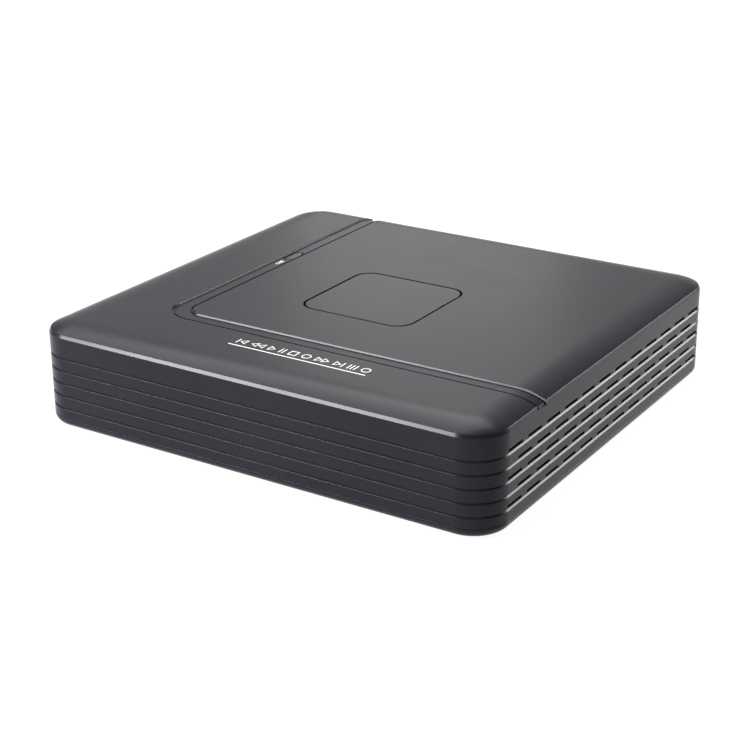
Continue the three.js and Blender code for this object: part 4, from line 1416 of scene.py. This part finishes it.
def regular(x, y, radius, sides, start):
    turn = [math.radians(start) + math.tau * i / sides for i in range(sides)]
    return [(x + radius * math.cos(a), y + radius * math.sin(a)) for a in turn]


def raise_print(bm, thickness=0.03):
    """Gives flat print its thickness of ink."""
    bmesh.ops.recalc_face_normals(bm, faces=bm.faces)
    for face in bm.faces:
        if face.normal.z < 0:
            face.normal_flip()
    made = bmesh.ops.extrude_face_region(bm, geom=bm.faces[:])
    lifted = [v for v in made["geom"] if isinstance(v, bmesh.types.BMVert)]
    bmesh.ops.translate(bm, vec=(0, 0, thickness), verts=lifted)
    bmesh.ops.recalc_face_normals(bm, faces=bm.faces)
    return bm


PRINT_LEFT, PRINT_RIGHT = -22, 38
PRINT_FOOT = -72.2
PRINT_HEIGHT = 4.0
LINE_FOOT, LINE_HEAD = -74.7, -74.15
STROKE = 0.45


def top_print(look):
    """A row of transport symbols over an underline, on the cover in front of the channel."""
    bm = bmesh.new()
    z = CROWN_TOP + 0.005
    y0, y1 = PRINT_FOOT, PRINT_FOOT + PRINT_HEIGHT
    mid = (y0 + y1) / 2

    def bar(x, top=y1):
        points = [(x, y0), (x + STROKE, y0), (x + STROKE, top), (x, top)]
        bm.faces.new([bm.verts.new((px, py, z)) for px, py in points])

    def triangle(x, way):
        tip, flat = (x + 3, x) if way > 0 else (x, x + 3)
        outlined(bm, [(flat, y0), (tip, mid), (flat, y1)][:: 1 if way > 0 else -1][::-1], STROKE * 0.8, z)

    def stop(x):
        outlined(bm, [(x, y0), (x + 3.6, y0), (x + 3.6, y1), (x, y1)], STROKE, z)

    def record(x):
        outlined(bm, regular(x + 1.9, mid, 1.95, 28, 0), STROKE, z)

    signs = [
        (4.1, lambda x: (bar(x), triangle(x + 1.1, -1))),
        (6.1, lambda x: (triangle(x, -1), triangle(x + 3.1, -1))),
        (3.0, lambda x: triangle(x, 1)),
        (2.0, lambda x: (bar(x), bar(x + 1.5))),
        (3.6, stop),
        (3.9, record),
        (6.1, lambda x: (triangle(x, 1), triangle(x + 3.1, 1))),
        (4.1, lambda x: (triangle(x, 1), bar(x + 3.6))),
        (3.5, lambda x: (bar(x), bar(x + 1.5), bar(x + 3))),
        (3.9, record),
    ]
    air = (PRINT_RIGHT - PRINT_LEFT - sum(width for width, _ in signs)) / (len(signs) - 1)
    x = PRINT_LEFT
    for width, sign in signs:
        sign(x)
        x += width + air
    left, right = PRINT_LEFT - 1.5, PRINT_RIGHT + 0.3
    line = [(left, LINE_FOOT), (right, LINE_FOOT), (right, LINE_HEAD), (left, LINE_HEAD)]
    bm.faces.new([bm.verts.new((px, py, z)) for px, py in line])
    piece("cover_print", raise_print(bm), "cover", look)


def power_sign(look):
    """A small ring and two bars in the channel, in front of the indicator's window."""
    bm = bmesh.new()
    z = CROWN_TOP - CHANNEL_DEPTH + 0.01
    x = middle_x("light_pipe")
    outlined(bm, regular(x, 15, 1.0, 24, 0), 0.3, z)
    for px, py in (((x - 0.9, x + 0.9), (16.6, 17.0)), ((x - 0.9, x + 0.9), (17.6, 18.6))):
        corners = [(px[0], py[0]), (px[1], py[0]), (px[1], py[1]), (px[0], py[1])]
        bm.faces.new([bm.verts.new((a, b, z)) for a, b in corners])
    piece("power_symbol", raise_print(bm), "cover", look)


def lettering(text, size, x, z):
    """A generic mark on the rear panel, read from behind."""
    curve = bpy.data.curves.new("numeral", "FONT")
    curve.body = text
    curve.size = size
    curve.align_x = "CENTER"
    curve.extrude = 0.02
    holder = bpy.data.objects.new("numeral", curve)
    bpy.context.scene.collection.objects.link(holder)
    bpy.context.view_layer.update()
    mesh = bpy.data.meshes.new_from_object(
        holder.evaluated_get(bpy.context.evaluated_depsgraph_get())
    )
    turned = Matrix.Rotation(math.pi, 4, "Z") @ Matrix.Rotation(math.pi / 2, 4, "X")
    mesh.transform(Matrix.Translation((x, panel_high.y + 0.02, z)) @ turned)
    bpy.data.objects.remove(holder)
    bpy.data.curves.remove(curve)
    return mesh


def panel_print(look):
    bm = bmesh.new()
    marks = [(str(i), 3.2, middle_x(node), 27.2) for i, node in enumerate(JACKS, 1)]
    marks.append(("12V", 2.8, middle_x("power_socket"), 25.6))
    for text, size, x, z in marks:
        mesh = lettering(text, size, x, z)
        bm.from_mesh(mesh)
        bpy.data.meshes.remove(mesh)
    bmesh.ops.remove_doubles(bm, verts=bm.verts, dist=1e-4)
    piece("panel_print", bm, "recorder", look)


# ---- Assembly ----------------------------------------------------------------------------------


def build():
    abs_black = satin_abs()
    nickel, tin, gold, zinc = nickel_plate(), tin_plate(), gold_flash(), zinc_plate()
    nylon, ivory, casting = black_nylon(), ivory_nylon(), cast_aluminium()
    white_ink = print_ink("white_ink", "d9d9d8", "ededec")
    rubber = foot_rubber()

    top_cover(abs_black)
    badge(badge_abs())
    indicator_window(smoked_polycarbonate())
    base_tray(abs_black)
    for index, place in enumerate(FEET, 1):
        foot(index, place, rubber)
    for index in range(1, 5):
        screw(f"case_screw_{index}_turned", f"case_screw_{index}", False, zinc)
        screw(f"drive_screw_{index}_turned", f"drive_screw_{index}", False, zinc)
        screw(f"board_screw_{index}_turned", f"board_screw_{index}", True, zinc)

    rear_panel(powder_coat())
    for index in range(1, 5):
        video_jack(index, nickel, ivory, gold, nylon)
    white_nylon = coloured_nylon("white_nylon", "d3d3d0", "e2e2df")
    red_nylon = coloured_nylon("red_nylon", "8e1416", "a81c1d")
    audio_jacks(nickel, [red_nylon, white_nylon], nylon)
    usb_sockets(tin, white_nylon, gold, nylon)
    amber = coloured_nylon("amber_lens", "a8741c", "c28d2c")
    green_lens = coloured_nylon("green_lens", "2c7a3c", "3a934c")
    network_socket(tin, nylon, gold, amber, green_lens)
    digital_video_socket(tin, nylon, gold)
    screen_socket(nickel, coloured_nylon("blue_nylon", "16357e", "1f469a"), nylon, gold)
    hex_post("left", nickel)
    hex_post("right", nickel)
    power_socket(nylon, nickel)

    mask = solder_mask()
    main_board(mask)
    tracks(mask_over_copper())
    silkscreen(white_ink)
    resin = chip_resin()
    small_parts(resin, tin)
    chips(resin, tin)
    heat_sink(black_anodised())
    coin_cell(nylon, zinc)
    buzzer(nylon)
    sleeve = capacitor_sleeve()
    capacitor(1, sleeve, tin)
    capacitor(2, sleeve, tin)
    power_inductor(ferrite(), tin)
    indicator(led_resin())
    crystal(tin)
    headers(nylon, gold)

    drive_case(casting, brushed_steel(), nylon, gold, mask, print_ink("dark_ink", "1b1c20", "26272b"),
               label_film(), zinc)
    drive_insides(disc_coating(), casting, nickel)
    red_vinyl = lead_vinyl("red_vinyl", "8c1f1c", "a62b26")
    black_vinyl = lead_vinyl("black_vinyl", "151516", "202022")
    yellow_vinyl = lead_vinyl("yellow_vinyl", "c79a1e", "dcb236")
    data_lead(lead_vinyl("blue_vinyl", "1b3a86", "27499c"), nylon)
    power_lead([yellow_vinyl, black_vinyl, black_vinyl, red_vinyl], ivory)

    top_print(white_ink)
    power_sign(white_ink)
    panel_print(white_ink)


build()

# ---- Floor, light and camera -------------------------------------------------------------------

AIM = CASE @ Vector((0, 0, 29.5))
CAMERA_AZIMUTH = 32.20
CAMERA_ELEVATION = 20.66
CAMERA_ROLL = -0.278
CAMERA_DISTANCE = 0.6911
CAMERA_LENS = 80.67
CAMERA_SHIFT = (-0.0132, -0.0658)


def towards(azimuth, elevation):
    """The direction from the object out to an azimuth and elevation, in degrees."""
    a, e = math.radians(azimuth), math.radians(elevation)
    return Vector((math.sin(a) * math.cos(e), -math.cos(a) * math.cos(e), math.sin(e)))


def softbox(name, azimuth, elevation, distance, size, radiance):
    """A rectangular area light that faces the object."""
    light = bpy.data.lights.new(name, "AREA")
    light.shape = "RECTANGLE"
    light.size, light.size_y = size
    light.energy = radiance * math.pi * size[0] * size[1]
    lamp = bpy.data.objects.new(name, light)
    direction = towards(azimuth, elevation)
    lamp.location = AIM + direction * distance
    lamp.rotation_euler = direction.to_track_quat("Z", "Y").to_euler()
    bpy.context.scene.collection.objects.link(lamp)


def studio_white():
    """A lit acrylic sheet: it glows evenly and takes only a faint shadow."""
    return grained(
        "studio_white", "606060", "646464", (0.7, 0.8), 20, 0.001, drift=900,
        Emission_Color=srgb("ffffff"), Emission_Strength=0.92,
    )


def stage_floor():
    bm = bmesh.new()
    bmesh.ops.create_grid(bm, x_segments=1, y_segments=1, size=12)
    mesh = bpy.data.meshes.new("studio_floor")
    bm.to_mesh(mesh)
    bm.free()
    mesh.materials.append(studio_white())
    made = bpy.data.objects.new("studio_floor", mesh)
    bpy.context.scene.collection.objects.link(made)


def set_world():
    world = bpy.data.worlds.new("studio")
    world.use_nodes = True
    tree = world.node_tree
    tree.nodes.clear()
    sky = add(tree, "Background", Color=srgb("ffffff"), Strength=0.4)
    add(tree, "OutputWorld", Surface=sky.outputs[0])
    bpy.context.scene.world = world


def set_camera():
    back = towards(CAMERA_AZIMUTH, CAMERA_ELEVATION)
    level = Vector((math.cos(math.radians(CAMERA_AZIMUTH)), math.sin(math.radians(CAMERA_AZIMUTH)), 0))
    upright = back.cross(level)
    roll = math.radians(CAMERA_ROLL)
    right = level * math.cos(roll) + upright * math.sin(roll)
    up = upright * math.cos(roll) - level * math.sin(roll)
    camera = bpy.data.cameras.new("camera")
    camera.sensor_width = 36
    camera.lens = CAMERA_LENS
    camera.shift_x, camera.shift_y = CAMERA_SHIFT
    holder = bpy.data.objects.new("camera", camera)
    turned = Matrix((right, up, back)).transposed().to_4x4()
    holder.matrix_world = Matrix.Translation(AIM + back * CAMERA_DISTANCE) @ turned
    bpy.context.scene.collection.objects.link(holder)
    bpy.context.scene.camera = holder


stage_floor()
set_world()
softbox("front_left", -33, 18, 1.4, (0.55, 0.42), 50)
softbox("right_rear", 148, 22, 1.4, (0.5, 0.4), 22)
softbox("right_low", 142, 5, 1.4, (0.5, 0.16), 3)
softbox("overhead_left", -112, 57, 1.5, (2.1, 1.0), 4)
softbox("backdrop", 210, 24, 1.6, (1.7, 1.0), 0.38)
softbox("backdrop_centre", 210, 19, 1.5, (0.35, 0.35), 1.0)
set_camera()
bpy.context.scene.view_settings.view_transform = "Standard"
